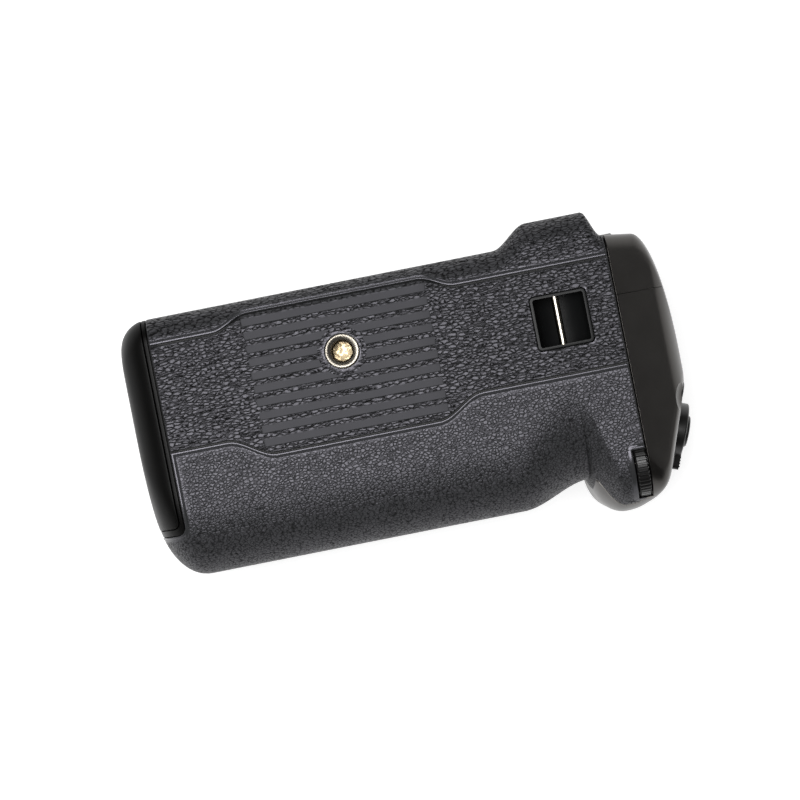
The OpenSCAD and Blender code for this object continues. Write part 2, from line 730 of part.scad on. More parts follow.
module camera_plate() {
    color("#242426") difference() {
        plate_prism(0, [-height, plate_top]);
        upright(0, 0, [-far, 0], screw_r + 0.9);
        for (p = locator_at) upright(p[0], p[1], [-far, 0], locator_r - 0.48);
        for (p = post_at) upright(p[0], p[1], [-far, 0], 1.1);
        for (p = post_at) upright(p[0], p[1], [-far, 1.2 - height], 2);
        translate([connector_at[0], connector_at[1], -height])
            cube([connector[0] + 0.2, connector[1] + 0.2, 10], center = true);
    }
}
module plate_screws() {
    color("#5a5b5e") for (p = post_at) {
        upright(p[0], p[1], [-height + 0.1, 1.15 - height], 1.85);
        upright(p[0], p[1], [1.1 - height, plate_top + 7], 0.9);
    }
}
module tripod_socket() {
    color("#c9cacc") difference() {
        union() {
            upright(0, 0, [-socket_depth, 0], socket_body_r);
            upright(0, 0, [bracket_z - bracket[2] - 1.5, bracket_z - bracket[2] - 0.05],
                socket_body_r + 2.2);
        }
        upright(0, 0, [-far, far], socket_r);
        translate([0, 0, -socket_lead])
            cylinder(h = socket_lead + 0.01, r1 = socket_r, r2 = socket_r + socket_lead + 0.01);
    }
}
module socket_bracket() {
    color("#8d8f92") difference() {
        block([-bracket[0] / 2, bracket[0] / 2], [-bracket[1] / 2, bracket[1] / 2],
            [bracket_z - bracket[2], bracket_z]);
        upright(0, 0, [-far, 0], socket_body_r + 0.05);
        for (p = bracket_screw_at) upright(p[0], p[1], [-far, 0], 1.1);
    }
}
module bracket_screws() {
    color("#6b6c6f") for (p = bracket_screw_at) {
        upright(p[0], p[1], [bracket_z - bracket[2] - 1.3, bracket_z - bracket[2] - 0.05], 1.7);
        upright(p[0], p[1], [bracket_z - bracket[2] - 0.1, -shell_in - 0.4], 0.95);
    }
}
module strap_pocket() {
    axis_z = pocket_round - pocket_depth;
    color("#1e1e20") difference() {
        block([pocket_x - pocket_out[0], pocket_x + pocket_out[0]],
            [-pocket_front - pocket_out[1], -pocket_front + pocket_out[1]],
            [-pocket_depth - pocket_wall, -0.05]);
        crosswise(pocket_x, [-pocket_front - pocket_w / 2, -pocket_front + pocket_w / 2],
            axis_z, pocket_round);
        block([pocket_x - pocket_l / 2, pocket_x + pocket_l / 2],
            [-pocket_front - pocket_w / 2, -pocket_front + pocket_w / 2], [axis_z, 5]);
        crosswise(strap_pin_x, all, -strap_pin_depth, strap_pin_r + 0.02);
    }
}
module strap_pin() {
    color("#b9bbbd") crosswise(strap_pin_x,
        [-pocket_front - pocket_out[1], -pocket_front + pocket_out[1]], -strap_pin_depth, strap_pin_r);
}
module battery_sleeve() {
    color("#3d4147") difference() {
        union() {
            block(sleeve_x, sleeve_y, sleeve_z);
            for (p = board_screw_at) crosswise(p[0], [board_y + 0.05, sleeve_y[0] + 0.5], p[1], 2);
        }
        block([-far, tray_x1 + play], bore_y, bore_z);
        block([0, far], [-tray_mid - 9, -tray_mid + 9], [tray_mid_z - 4, tray_mid_z + 4]);
        for (p = board_screw_at) crosswise(p[0], [-far, sleeve_y[0]], p[1], 0.95);
    }
}
module contact_block() {
    color("#161617") difference() {
        block([sleeve_x[1] + 0.1, sleeve_x[1] + 3.2], [-tray_mid - 11, -tray_mid + 11],
            [tray_mid_z - 6, tray_mid_z + 6]);
        for (y = contact_y) lengthwise([0, sleeve_x[1] + 1.6], y, tray_mid_z, 0.75);
    }
}
module contact_springs() {
    color("#cba75a") for (y = contact_y)
        lengthwise([tray_x1 + 0.5, sleeve_x[1] + 1.5], y, tray_mid_z, 0.7);
}
module main_board() {
    color("#1f5a3a") difference() {
        block(board_x, [board_y - 1.2, board_y], board_z);
        for (p = board_screw_at) crosswise(p[0], all, p[1], 1.1);
    }
}
module board_screws() {
    color("#6b6c6f") for (p = board_screw_at) {
        crosswise(p[0], [board_y - 2.4, board_y - 1.25], p[1], 1.7);
        crosswise(p[0], [board_y - 1.3, sleeve_y[0] - 0.5], p[1], 0.9);
    }
}
module connector_block() {
    half = [connector[0] / 2, connector[1] / 2];
    color("#161617") translate([connector_at[0], connector_at[1], 0]) difference() {
        union() {
            block([-half[0], half[0]], [-half[1], half[1]], [-height - stand_out, plate_top + 2.2]);
            block([-half[0] - 1.5, half[0] + 1.5], [-half[1] - 1.5, half[1] + 1.5],
                [plate_top + 0.05, plate_top + 1.2]);
        }
        block([-half[0] + 1.6, half[0] - 1.6], [-half[1] + 1.4, half[1] - 1.4],
            [-far, -height - stand_out + 3.6]);
    }
}
module connector_pins() {
    color("#cba75a") translate([connector_at[0], connector_at[1], -height - stand_out])
        for (i = [0:contact_count - 1], row = [-1, 1])
            translate([(i - (contact_count - 1) / 2) * (connector[0] - 6) / (contact_count - 1),
                row * 1.1, 0])
                block([-0.35, 0.35], [-0.4, 0.4], [1, 3.55]);
}
module flex_cable() {
    top = plate_top + 2.3;
    color("#9a6b2c") {
        block([connector_at[0] - 10, connector_at[0] - 1], [board_y + 0.1, connector_at[1]],
            [top, top + 0.2]);
        block([connector_at[0] - 10, connector_at[0] - 1], [board_y + 0.1, board_y + 0.3],
            [top, board_z[0] + 5]);
    }
}
module locating_pins() {
    color("#b9bbbd") for (p = locator_at) {
        upright(p[0], p[1], [-height - stand_out, -height], locator_r);
        upright(p[0], p[1], [-height - 0.1, plate_top + 0.5], locator_r - 0.5);
        upright(p[0], p[1], [plate_top + 0.05, plate_top + 1.2], locator_r + 1.2);
    }
}
module shutter_collar() {
    color("#4b4c4f") on_platform() difference() {
        union() {
            disc([-3.4, lever_rise - 0.4], shutter_r + play + 0.7);
            disc([-3.4, -cover_t - 0.2], lever_r + 1.2);
        }
        disc([-9, 9], shutter_r + play);
    }
}
module control_board() {
    color("#1f5a3a") on_platform() {
        block([-7, 7], [-9, 9], [-9, -8]);
        block([-14.5, -6], [4, 14], [-9, -8]);
        block([-4.6, -1.4], [-11, -8.5], [-9, -8]);
    }
}
module control_switches() {
    color("#b9bbbd") {
        on_platform() block([-2.2, 2.2], [-2.2, 2.2], [-7.98, -6.9]);
        on_function() block([-1.8, 1.8], [-1.8, 1.8], [-7.98, -7]);
    }
}
module front_dial_bracket() {
    left = front_dial_x - dial_t / 2 - 1.4;
    right = front_dial_x + dial_t / 2 + 1.1;
    floor_z = front_dial_z - dial_r - 0.6;
    color("#55575a") difference() {
        union() {
            for (x = [[left, left + 0.9], [right - 0.7, right]])
                block(x, [front_dial_y - 1.8, front_dial_y + 1.8], [floor_z - 1, front_dial_z + 1.8]);
            block([left, right], [front_dial_y - 1.8, front_dial_y + 1.8], [floor_z - 1, floor_z]);
            block([left, left + 1.5], [front_y(left + 1.5, cavity_in) + 0.3, front_dial_y],
                [floor_z - 1, floor_z]);
        }
        lengthwise(all, front_dial_y, front_dial_z, dial_pin_r + 0.01);
    }
}
module front_dial_pin() {
    color("#b9bbbd") lengthwise([front_dial_x - dial_t / 2 - 1.4, front_dial_x + dial_t / 2 + 1.1],
        front_dial_y, front_dial_z, dial_pin_r);
}
module rear_dial_bracket() {
    left = rear_dial_x - dial_t / 2 - 1.7;
    right = rear_dial_x + dial_t / 2 + 1.7;
    back = rear_dial_y - dial_r - 0.6;
    color("#55575a") difference() {
        union() {
            for (x = [[left, left + 1], [right - 1, right]])
                block(x, [back - 1, rear_y(right, cover_t + 1.1) - 0.3],
                    [-rear_dial_depth - 3, -rear_dial_depth + 3]);
            block([left, right], [back - 1, back], [-rear_dial_depth - 3, -rear_dial_depth + 3]);
        }
        lengthwise(all, rear_dial_y, -rear_dial_depth, dial_pin_r + 0.01);
    }
}
module rear_dial_pin() {
    color("#b9bbbd") lengthwise([rear_dial_x - dial_t / 2 - 1.7, rear_dial_x + dial_t / 2 + 1.7],
        rear_dial_y, -rear_dial_depth, dial_pin_r);
}
module rear_board() {
    color("#1f5a3a") block([panel_x + 4, focus_button_at[0] + 6],
        [rear_board_y, rear_board_y + 0.8], [stick_at[1] - 4.5 - height, rear_button_depth + 7 - height]);
}
module rear_switches() {
    color("#b9bbbd") for (p = [focus_button_at, menu_button_at])
        on_rear(p[0], rear_button_depth)
            block([-1.8, 1.8], [-1.8, 1.8], [button_floor + 0.02, button_floor + switch_h]);
}
module stick_holder() {
    color("#cfd0d2") on_rear(stick_at[0], stick_at[1]) difference() {
        for (x = [[-4.4, -3.3], [3.3, 4.4]])
            block(x, [-0.9, 0.9], [button_floor + 0.02, stick_pivot + 0.6]);
        rotate([0, 90, 0]) translate([-stick_pivot, 0, -6]) cylinder(h = 12, r = 0.5);
    }
}
module battery_bays() {
    for (x = bay_x) block([x, x + bay_l], [tray_y[0] + tray_wall, tray_y[1] - tray_wall],
        [tray_z[0] + tray_floor, far]);
}
module latch_run(g) {
    block([-far, latch_x], [-tray_mid + 4 - g, -tray_mid + 8 + latch_travel + g],
        [tray_mid_z - latch_slot / 2 - g, tray_mid_z + latch_slot / 2 + g]);
}
module battery_tray() {
    color("#4a4c50") difference() {
        block([tray_x0, tray_x1], tray_y, tray_z);
        battery_bays();
        block([latch_x - 0.9, latch_x + 0.9], [-tray_mid + 3.6, far],
            [tray_mid_z - latch_slot / 2 - play, tray_mid_z + latch_slot / 2 + play]);
        latch_run(play);
        for (y = cap_screw_y) {
            lengthwise([-far, bay_x[0] + 1], y, cap_screw_z, 1);
            lengthwise([bay_x[0] - 1.5, bay_x[0] + 1], y, cap_screw_z, 1.8);
        }
        for (y = contact_y) block([tray_x1 - tray_back - 1, far], [y - 0.8, y + 0.8],
            [tray_mid_z - 3, tray_mid_z + 3]);
    }
}
module tray_cap() {
    color("#1a1a1c") difference() {
        intersection() {
            form(0, tray_run);
            block([-far, cap_x - seam], [-cap_front, far], [-cap_depth, far]);
        }
        difference() {
            block([3.4 - tray_end, 0], [tray_y[0] + 3, tray_y[1] - 3], [tray_z[0] + 1, tray_z[1] - 1]);
            for (y = cap_screw_y) lengthwise(all, y, cap_screw_z, 2.4);
        }
        block([-far, 1.8 - tray_end], [-tray_mid - 1.5, -tray_mid + 13.5 + latch_travel],
            [tray_mid_z - 4.5, tray_mid_z + 4.5]);
        latch_run(play);
        for (y = cap_screw_y) lengthwise([3 - tray_end, 0], y, cap_screw_z, 1);
    }
}
module cap_screws() {
    color("#6b6c6f") for (y = cap_screw_y) {
        lengthwise([bay_x[0] - 1.4, bay_x[0] - 0.2], y, cap_screw_z, 1.7);
        lengthwise([3.6 - tray_end, bay_x[0] - 1.35], y, cap_screw_z, 0.95);
    }
}
module tray_contacts() {
    color("#cba75a") for (y = contact_y) {
        block([bay_x[1] - divider_t - 0.2, bay_x[1] - divider_t - 0.02], [y - 0.7, y + 0.7],
            [tray_mid_z - 3, tray_mid_z + 3]);
        block([tray_x1 - tray_back - 0.2, tray_x1 + 0.15], [y - 0.7, y + 0.7],
            [tray_mid_z - 2.9, tray_mid_z + 2.9]);
    }
}
module battery_at(i) {
    x = bay_x[i] + bay_play;
    difference() {
        block([x, x + battery[0]], [-tray_mid - battery[1] / 2, -tray_mid + battery[1] / 2],
            [tray_z[0] + tray_floor + 0.05, tray_z[0] + tray_floor + 0.05 + battery_h]);
        for (y = contact_y) block([x + battery[0] - 0.6, x + battery[0] + 1], [y - 1.1, y + 1.1],
            [tray_mid_z - 3.2, tray_mid_z + 3.2]);
        block([x + 6, x + battery[0] - 6], [-tray_mid - 14, -tray_mid + 14],
            [tray_z[0] + tray_floor + battery_h - 0.2, far]);
    }
}
module inner_battery() {
    color("#2f3033") battery_at(1);
}
module outer_battery() {
    color("#2f3033") battery_at(0);
}
module battery_terminals() {
    color("#cba75a") for (x = bay_x, y = contact_y)
        block([x + bay_play + battery[0] - 0.58, x + bay_play + battery[0] - 0.3],
            [y - 1, y + 1], [tray_mid_z - 3, tray_mid_z + 3]);
}
module tray_latch() {
    low = -tray_mid + 4;
    color("#2a2a2d") {
        block([0.5 - tray_end, 1.4 - tray_end], [-tray_mid - 1, -tray_mid + 13],
            [tray_mid_z - 4, tray_mid_z + 4]);
        for (i = [0:4]) block([0.1 - tray_end, 0.6 - tray_end], [low - 2 + 2 * i, low - 1 + 2 * i],
            [tray_mid_z - 3.4, tray_mid_z + 3.4]);
        block([1.3 - tray_end, latch_x], [low, low + 4],
            [tray_mid_z - latch_slot / 2, tray_mid_z + latch_slot / 2]);
        block([latch_x - 0.5, latch_x + 0.5], [low, tray_y[1] - 0.2],
            [tray_mid_z - latch_slot / 2, tray_mid_z + latch_slot / 2]);
    }
}
module attachment_screw() {
    color("#b9bbbd") {
        upright(0, 0, [-height - stand_out, 0.2 - height], screw_r);
        upright(0, 0, [0.1 - height, wheel_z[0]], screw_r + 0.85);
        upright(0, 0, [wheel_z[0] - 0.1, sleeve_z[0] - 0.3], screw_r);
    }
}
// A round outline with n straight-sided knurls of depth h
function knurled(r, n, h) = [for (i = [0:4 * n - 1])
    let (a = (i + 0.5) * 90 / n, q = (i % 4) < 2 ? r : r - h) [q * cos(a), q * sin(a)]];
module attachment_wheel() {
    color("#1d1d1f") difference() {
        translate([0, 0, wheel_z[0] + 0.02]) linear_extrude(wheel_t - 0.02)
            polygon(knurled(wheel_r, wheel_knurls, 0.6));
        upright(0, 0, all, screw_r + 0.02);
    }
}
module shutter_button() {
    color("#3a3b3e") on_platform() difference() {
        union() {
            disc([-4.6, lever_rise + 1], shutter_r);
            disc([-4.6, -3.8], shutter_r + 0.9);
            disc([shutter_travel - 6.8, -4.5], 1.2);
        }
        translate([0, 0, lever_rise + 12.6]) sphere(12);
    }
}
module lock_lever() {
    inner = shutter_r + play + 0.75;
    color("#1f1f21") on_platform() difference() {
        union() {
            disc([-2.1, lever_rise], lever_r);
            translate([0, 0, lever_rise - 1.6]) linear_extrude(1.6)
                polygon([[-3.4, -lever_r + 2], [-2.4, -lever_reach], [1.2, -lever_reach], [3.4, -lever_r + 2]]);
        }
        disc([-9, 9], inner);
    }
}
module function_button() {
    color("#2d2d30") on_function() {
        disc([-3.4, 0], fn_r);
        disc([-3.4, -cover_t - 0.7], fn_r + 0.8);
        disc([button_travel - 6.8, -3.3], 1);
    }
}
module dial() {
    difference() {
        linear_extrude(dial_t, center = true) polygon(knurled(dial_r, dial_knurls, 0.5));
        cylinder(h = 20, r = dial_pin_r + 0.05, center = true);
    }
}
module front_dial() {
    color("#232325") translate([front_dial_x, front_dial_y, front_dial_z]) rotate([0, 90, 0]) dial();
}
module rear_dial() {
    color("#232325") translate([rear_dial_x, rear_dial_y, -rear_dial_depth]) rotate([0, 90, 0]) dial();
}
module rear_button(at) {
    on_rear(at[0], rear_button_depth) {
        disc([flange_top - 0.7, button_proud], at[1]);
        disc([flange_top - 0.7, flange_top], at[1] + 0.9);
        disc([stem_end, flange_top - 0.6], 1);
    }
}
module focus_button() {
    color("#2d2d30") rear_button(focus_button_at);
}
module menu_button() {
    color("#2d2d30") rear_button(menu_button_at);
}
module stick_gimbal() {
    color("#b9bbbd") on_rear(stick_at[0], stick_at[1]) difference() {
        union() {
            disc([stick_pivot - 0.6, stick_pivot + 0.6], 2.8);
            rotate([0, 90, 0]) translate([-stick_pivot, 0, -3.9]) cylinder(h = 7.8, r = 0.45);
        }
        disc([-9, 9], 1.9);
        rotate([90, 0, 0]) translate([0, stick_pivot, -6]) cylinder(h = 12, r = 0.5);
    }
}
module focus_stick() {
    color("#2d2d30") on_rear(stick_at[0], stick_at[1]) {
        disc([-0.5, 1.6], stick_r);
        disc([stick_pivot - 0.7, 0], 1.1);
        rotate([90, 0, 0]) translate([0, stick_pivot, -2.6]) cylinder(h = 5.2, r = 0.45);
    }
}

main_shell();
base_skin();
front_skin();
rear_skin();
end_frame();
tray_seal();
control_end_cover();
rear_control_panel();
camera_plate();
plate_screws();
tripod_socket();
socket_bracket();
bracket_screws();
strap_pocket();
strap_pin();
battery_sleeve();
contact_block();
contact_springs();
main_board();
board_screws();
connector_block();
connector_pins();
flex_cable();
locating_pins();
shutter_collar();
control_board();
control_switches();
front_dial_bracket();
front_dial_pin();
rear_dial_bracket();
rear_dial_pin();
rear_board();
rear_switches();
stick_holder();
battery_tray();
tray_cap();
cap_screws();
tray_contacts();
inner_battery();
outer_battery();
battery_terminals();
tray_latch();
attachment_screw();
attachment_wheel();
shutter_button();
lock_lever();
function_button();
front_dial();
rear_dial();
focus_button();
menu_button();
stick_gimbal();
focus_stick();
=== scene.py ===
import math

import bmesh
import bpy
import numpy as np
from mathutils import Matrix, Vector, kdtree


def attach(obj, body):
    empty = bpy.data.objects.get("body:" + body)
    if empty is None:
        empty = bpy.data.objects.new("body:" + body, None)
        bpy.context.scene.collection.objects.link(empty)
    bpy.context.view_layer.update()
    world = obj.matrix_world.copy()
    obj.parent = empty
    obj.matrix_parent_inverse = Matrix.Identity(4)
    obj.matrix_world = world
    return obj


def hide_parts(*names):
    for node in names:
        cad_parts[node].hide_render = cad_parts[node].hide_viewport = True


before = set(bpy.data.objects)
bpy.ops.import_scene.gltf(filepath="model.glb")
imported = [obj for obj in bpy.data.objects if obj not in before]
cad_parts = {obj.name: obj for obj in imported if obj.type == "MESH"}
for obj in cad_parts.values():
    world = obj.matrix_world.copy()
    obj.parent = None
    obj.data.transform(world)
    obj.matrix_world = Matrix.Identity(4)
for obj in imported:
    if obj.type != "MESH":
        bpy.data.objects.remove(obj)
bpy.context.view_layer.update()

scene = bpy.context.scene
millimetre = 0.001

# Sizes of the grip in millimetres, as the solids have them
tray_end = 56.0
control_end = 85.0
rear_depth = 17.6
front_depth = 49.4
height = 46.0
scoop_depth = 4.8
scoop_start = 38.0
scoop_low = 56.0
nose_reach = 5.0
nose_full = 63.7
nose_r = 13.2
nose_foot = 56.1
nose_front = front_depth + nose_reach
nose_rise = scoop_depth + nose_reach
thumb_reach = 5.4
thumb_rise = (42.2, 51.8)
thumb_fall = (66.1, 69.8)
end_roll = 9.0
bevel_fall = math.tan(math.radians(32))
tray_corner = (12.0, 18.8)
tray_rear_corner = 8.2
control_corner = (7.2, 30.0)
panel_set = 1.3
panel_taper = 0.9
end_edge = 4.5
heel_r = 3.0
skin_t = 1.2
skin_depth = 38.0
seam = 0.3
skin_end = 70.45
cap_seam = -48.7
panel_left = -47.7
shell_left = -45.6
cap_front = 36.0
cap_depth = 40.0
cap_round = 1.6
cover_t = 2.2
shell_in = 1.3
cavity_in = 3.3
flush = 0.1
end_split = 0.5
platform_turn = math.radians(21)
platform_slope = math.tan(math.radians(69))
shutter_at = (80.3, -36.2, -26.0)
lever_rise = 3.3
nose_corner = shutter_at[0] + (-shutter_at[1] - nose_front) / platform_slope
nose_tangent = nose_r * math.tan(math.radians(34.5))
nose_arc = (nose_corner - nose_tangent, nose_corner + nose_tangent * math.sin(platform_turn))
panel_x = 36.0
panel_depth = 17.2
dial_r = 8.5
dial_t = 4.0
front_dial_at = (68.4, -42.655, -8.08381)
rear_dial_at = (72.7, 8.7, -26.0)
pocket_at = (56.0, -3.0)
strap_pin_at = (55.4, -2.6)
plate_top = -44.0
plate_x = (-44.1, 69.4)
wheel_r = 19.1
wheel_half = 14.26
wheel_z = (-43.4, -37.4)
tray_mid = (-12.0, -23.0)
latch_x = -46.95

# Sizes in millimetres that the solids don't have or have otherwise, to follow the photograph
nose_skin = 8.3
nose_root_turn = 24
rear_roll = 6.1
rim_w = 1.8
split_gap = 0.14
front_dial_span = (-1.1, 2.0)
socket_gap_r = 4.6
end_lip = 0.15

# A point inside the grip as (y, z), and a length past all of it
core = (-15.0, -23.0)
far = 120.0


# Form of the grip


def ease(start, end, x):
    t = min(max((x - start) / (end - start), 0.0), 1.0)
    return t * t * (3 - 2 * t)


def rolled(t, run, fall):
    if t >= run:
        return 0.0
    return fall * (1 - math.sqrt(1 - (1 - max(t, 0.0) / run) ** 2))


def platform_rise(x):
    if x <= nose_arc[0]:
        return 0.0
    if x < nose_arc[1]:
        return nose_r - math.sqrt(nose_r**2 - (x - nose_arc[0]) ** 2)
    return nose_front + shutter_at[1] + (x - shutter_at[0]) * platform_slope


def front_base(x):
    return scoop_depth * ease(scoop_start, scoop_low, x) - front_depth + platform_rise(x)


def nose_share(x, d):
    """Share of the nose's rise that its round flank has reached at x, set in by d."""
    start = nose_foot + d
    return 0.0 if x <= start else 1 - rolled(x - start, nose_full - start, 1.0)


def front_line(x):
    return front_base(x) - nose_rise * nose_share(x, 0.0)


def along(x, handle, scoop, nose, rim):
    value = handle + (scoop - handle) * ease(scoop_start, scoop_low, x)
    value += (nose - scoop) * ease(scoop_low, nose_full, x)
    return value + (rim - nose) * ease(skin_end - 1.5, skin_end + 5, x)


class Section:
    """Cross-section of the grip at x, set in by d."""

    def __init__(self, x, d=0.0):
        slope = (front_base(x + 0.05) - front_base(x - 0.05)) / 0.1
        share = nose_share(x, d)
        from_tray = x + tray_end - d
        from_end = control_end - d - x
        self.front = front_base(x) + d * math.sqrt(1 + slope**2) - nose_rise * share
        self.front += rolled(from_tray, tray_corner[0] - d, tray_corner[1] - d)
        outward = (x - thumb_fall[1]) / (control_end - control_corner[0] - thumb_fall[1])
        self.rear = rear_depth - d - panel_set * ease(*thumb_fall, x)
        self.rear -= panel_taper * min(max(outward, 0.0), 1.0)
        self.rear -= rolled(from_tray, tray_rear_corner - d, tray_rear_corner - d)
        self.rear -= rolled(from_end, control_corner[0] - d, control_corner[1] - d)
        self.base = -d - rolled(from_tray, end_roll - d, end_roll - d)
        self.base -= max(0.0, x - skin_end) * bevel_fall + rolled(from_end, 4, 6)
        self.camera = d - height + rolled(from_tray, 2.5, 2.5) + rolled(from_end, 4, 4)
        lag = nose_rise * (share - ease(nose_foot, nose_full, x))
        self.roll = max(0.8, along(x, 20, 26, 14, 4) + lag - d)
        self.drop = max(0.8, along(x, 15, 20, 16, 4) - d)
        self.under = max(0.8, 12 - 8 * ease(scoop_start, nose_full, x) - d)
        self.edge = max(0.8, rear_roll - (rear_roll - end_edge) * ease(62, 70, x) - d)
        self.heel = max(0.6, heel_r - d)
        self.out = thumb_reach * (ease(*thumb_rise, x) - ease(*thumb_fall, x))

    def middle(self):
        return (self.front + self.roll + self.rear - self.edge) / 2

    def base_at(self, y):
        """Level of the base at y, which falls off over the rear edge."""
        over = max(0.0, y - (self.rear + self.out - self.edge))
        return self.base - self.edge + math.sqrt(self.edge**2 - over**2)

    def front_path(self, start, steps):
        """Points from the base over the front roll to the middle of the camera face."""
        roll_y = self.front + self.roll
        points = [(start + (roll_y - start) * t, self.base) for t in np.linspace(0, 1, steps)]
        for a in np.linspace(math.pi / 2, math.pi, 2 * steps)[1:]:
            points.append((roll_y + self.roll * math.cos(a), self.base + self.drop * (math.sin(a) - 1)))
        high, low = self.base - self.drop, self.camera + self.under
        points += [(self.front, high + (low - high) * t) for t in np.linspace(0, 1, steps)[1:]]
        for a in np.linspace(math.pi, 1.5 * math.pi, steps)[1:]:
            points.append((self.front + self.under * (1 + math.cos(a)), low + self.under * math.sin(a)))
        first = self.front + self.under
        points += [(first + (start - first) * t, self.camera) for t in np.linspace(0, 1, steps)[1:]]
        return np.array(points)

    def rear_path(self, start, steps):
        """Points from the base over the rear edge to the middle of the camera face."""
        edge_y = self.rear + self.out - self.edge
        lean = math.acos(max((start - edge_y) / self.edge, 0.0))
        points = []
        if start < edge_y:
            points = [(start + (edge_y - start) * t, self.base) for t in np.linspace(0, 1, steps)[:-1]]
        for a in np.linspace(lean, 0, steps):
            points.append((edge_y + self.edge * math.cos(a), self.base + self.edge * (math.sin(a) - 1)))
        high, low = self.base - self.edge, self.camera + self.heel
        for t in np.linspace(1, 0, 2 * steps)[1:]:
            points.append((self.rear + self.out * ease(0.45, 0.75, t), low + (high - low) * t))
        for a in np.linspace(2 * math.pi, 1.5 * math.pi, steps)[1:]:
            points.append((self.rear - self.heel * (1 - math.cos(a)), low + self.heel * math.sin(a)))
        first = self.rear - self.heel
        points += [(first + (start - first) * t, self.camera) for t in np.linspace(0, 1, steps)[1:]]
        return np.array(points)

    def ring(self, steps):
        start = self.middle()
        front = self.front_path(start, steps)
        rear = self.rear_path(start, steps)[::-1]
        return np.vstack((front, rear[1:-1]))


def tray_front_tip(y):
    """Where the front edge of the tray end reaches the given y."""
    low, high = -tray_end, -tray_end + tray_corner[0]
    for _ in range(60):
        middle = (low + high) / 2
        if Section(middle).front > y:
            low = middle
        else:
            high = middle
    return high


def split_front(x):
    return -16.8 - 5.2 * (1 - ease(21, 32.8, abs(x)))


def split_rear(x):
    return 10.5 + 3.5 * (1 - ease(22, 31.3, abs(x)))


def nose_line(x):
    t = min(max((x - nose_foot) / (nose_full - nose_foot), 0.0), 1.0)
    return -nose_skin - (skin_depth - nose_skin) * (1 - t) ** nose_root_turn


# Meshes, built in millimetres


def new_piece(name, points, faces):
    mesh = bpy.data.meshes.new(name)
    mesh.from_pydata([tuple(p) for p in points], [], faces)
    mesh.validate()
    piece = bpy.data.objects.new(name, mesh)
    scene.collection.objects.link(piece)
    return piece


def evaluated_mesh(piece):
    bpy.context.view_layer.update()
    depsgraph = bpy.context.evaluated_depsgraph_get()
    return bpy.data.meshes.new_from_object(piece.evaluated_get(depsgraph))


def swap_mesh(piece, mesh):
    old = piece.data
    piece.modifiers.clear()
    piece.data = mesh
    bpy.data.meshes.remove(old)


def carve(piece, *tools, operation="DIFFERENCE"):
    """Cuts tools from a piece, joins them to it or keeps what they share."""
    for tool in tools:
        cut = piece.modifiers.new("carve", "BOOLEAN")
        cut.operation = operation
        cut.solver = "MANIFOLD"
        cut.object = tool
        swap_mesh(piece, evaluated_mesh(piece))
        bpy.data.objects.remove(tool)
    return piece


def shared(piece, *tools):
    return carve(piece, *tools, operation="INTERSECT")


def joined(piece, *tools):
    return carve(piece, *tools, operation="UNION")


def tidy_normals(piece):
    work = bmesh.new()
    work.from_mesh(piece.data)
    bmesh.ops.remove_doubles(work, verts=work.verts, dist=1e-4)
    bmesh.ops.recalc_face_normals(work, faces=work.faces)
    work.to_mesh(piece.data)
    work.free()
    return piece


def placed(piece, place):
    piece.data.transform(place)
    return piece


def block(x, y, z):
    points = [(x[i], y[j], z[k]) for i in (0, 1) for j in (0, 1) for k in (0, 1)]
    faces = [(0, 1, 3, 2), (4, 6, 7, 5), (0, 4, 5, 1), (2, 3, 7, 6), (0, 2, 6, 4), (1, 5, 7, 3)]
    return new_piece("tool", points, faces)


def prism(outline, low, high):
    """Upright prism over a closed outline that runs anticlockwise."""
    n = len(outline)
    points = [(x, y, z) for z in (low, high) for x, y in outline]
    faces = [tuple(range(n - 1, -1, -1)), tuple(range(n, 2 * n))]
    faces += [(i, (i + 1) % n, n + (i + 1) % n, n + i) for i in range(n)]
    return new_piece("tool", points, faces)


def side_prism(outline, near, deep):
    """Prism along Y over a closed outline of (x, z)."""
    piece = prism(outline, near, deep)
    for vertex in piece.data.vertices:
        x, z, y = vertex.co
        vertex.co = (x, y, z)
    return tidy_normals(piece)


def loft(name, rings):
    """Closed skin over rings of equally many points, with a fan at each end."""
    count, n = len(rings), len(rings[0])
    points = [p for ring in rings for p in ring]
    faces = []
    for i in range(count - 1):
        a, b = i * n, (i + 1) * n
        faces += [(a + j, a + (j + 1) % n, b + (j + 1) % n, b + j) for j in range(n)]
    for end in (0, count - 1):
        middle = len(points)
        points.append(tuple(np.mean(np.array(rings[end]), axis=0)))
        faces += [(middle, end * n + j, end * n + (j + 1) % n) for j in range(n)]
    return tidy_normals(new_piece(name, points, faces))


def turned(name, profile, place=Matrix.Identity(4), sides=64):
    """Turns a profile of (radius, z) round the local Z axis; one that starts off the axis is closed."""
    points, faces, rows = [], [], []
    for r, z in profile:
        count = sides if r > 1e-9 else 1
        rows.append(list(range(len(points), len(points) + count)))
        for j in range(count):
            a = 2 * math.pi * j / sides
            points.append((r * math.cos(a), r * math.sin(a), z))
    pairs = list(zip(rows, rows[1:]))
    if profile[0][0] > 0:
        pairs.append((rows[-1], rows[0]))
    for one, two in pairs:
        for j in range(sides):
            k = (j + 1) % sides
            quad = (one[j % len(one)], one[k % len(one)], two[k % len(two)], two[j % len(two)])
            faces.append(tuple(dict.fromkeys(quad)))
    return tidy_normals(placed(new_piece(name, points, faces), place))


def arc(centre, radius, start, end, steps=6):
    """Points of a circle's arc; angles in degrees."""
    angles = np.radians(np.linspace(start, end, steps))
    return [(centre[0] + radius * math.cos(a), centre[1] + radius * math.sin(a)) for a in angles]


def soft_box(half_x, half_y, radius, steps=5):
    """Anticlockwise outline of a rectangle with round corners, round the origin."""
    points = []
    for sx, sy, start in ((1, 1, 0), (-1, 1, 90), (-1, -1, 180), (1, -1, 270)):
        centre = (sx * (half_x - radius), sy * (half_y - radius))
        points += arc(centre, radius, start, start + 90, steps)
    return points


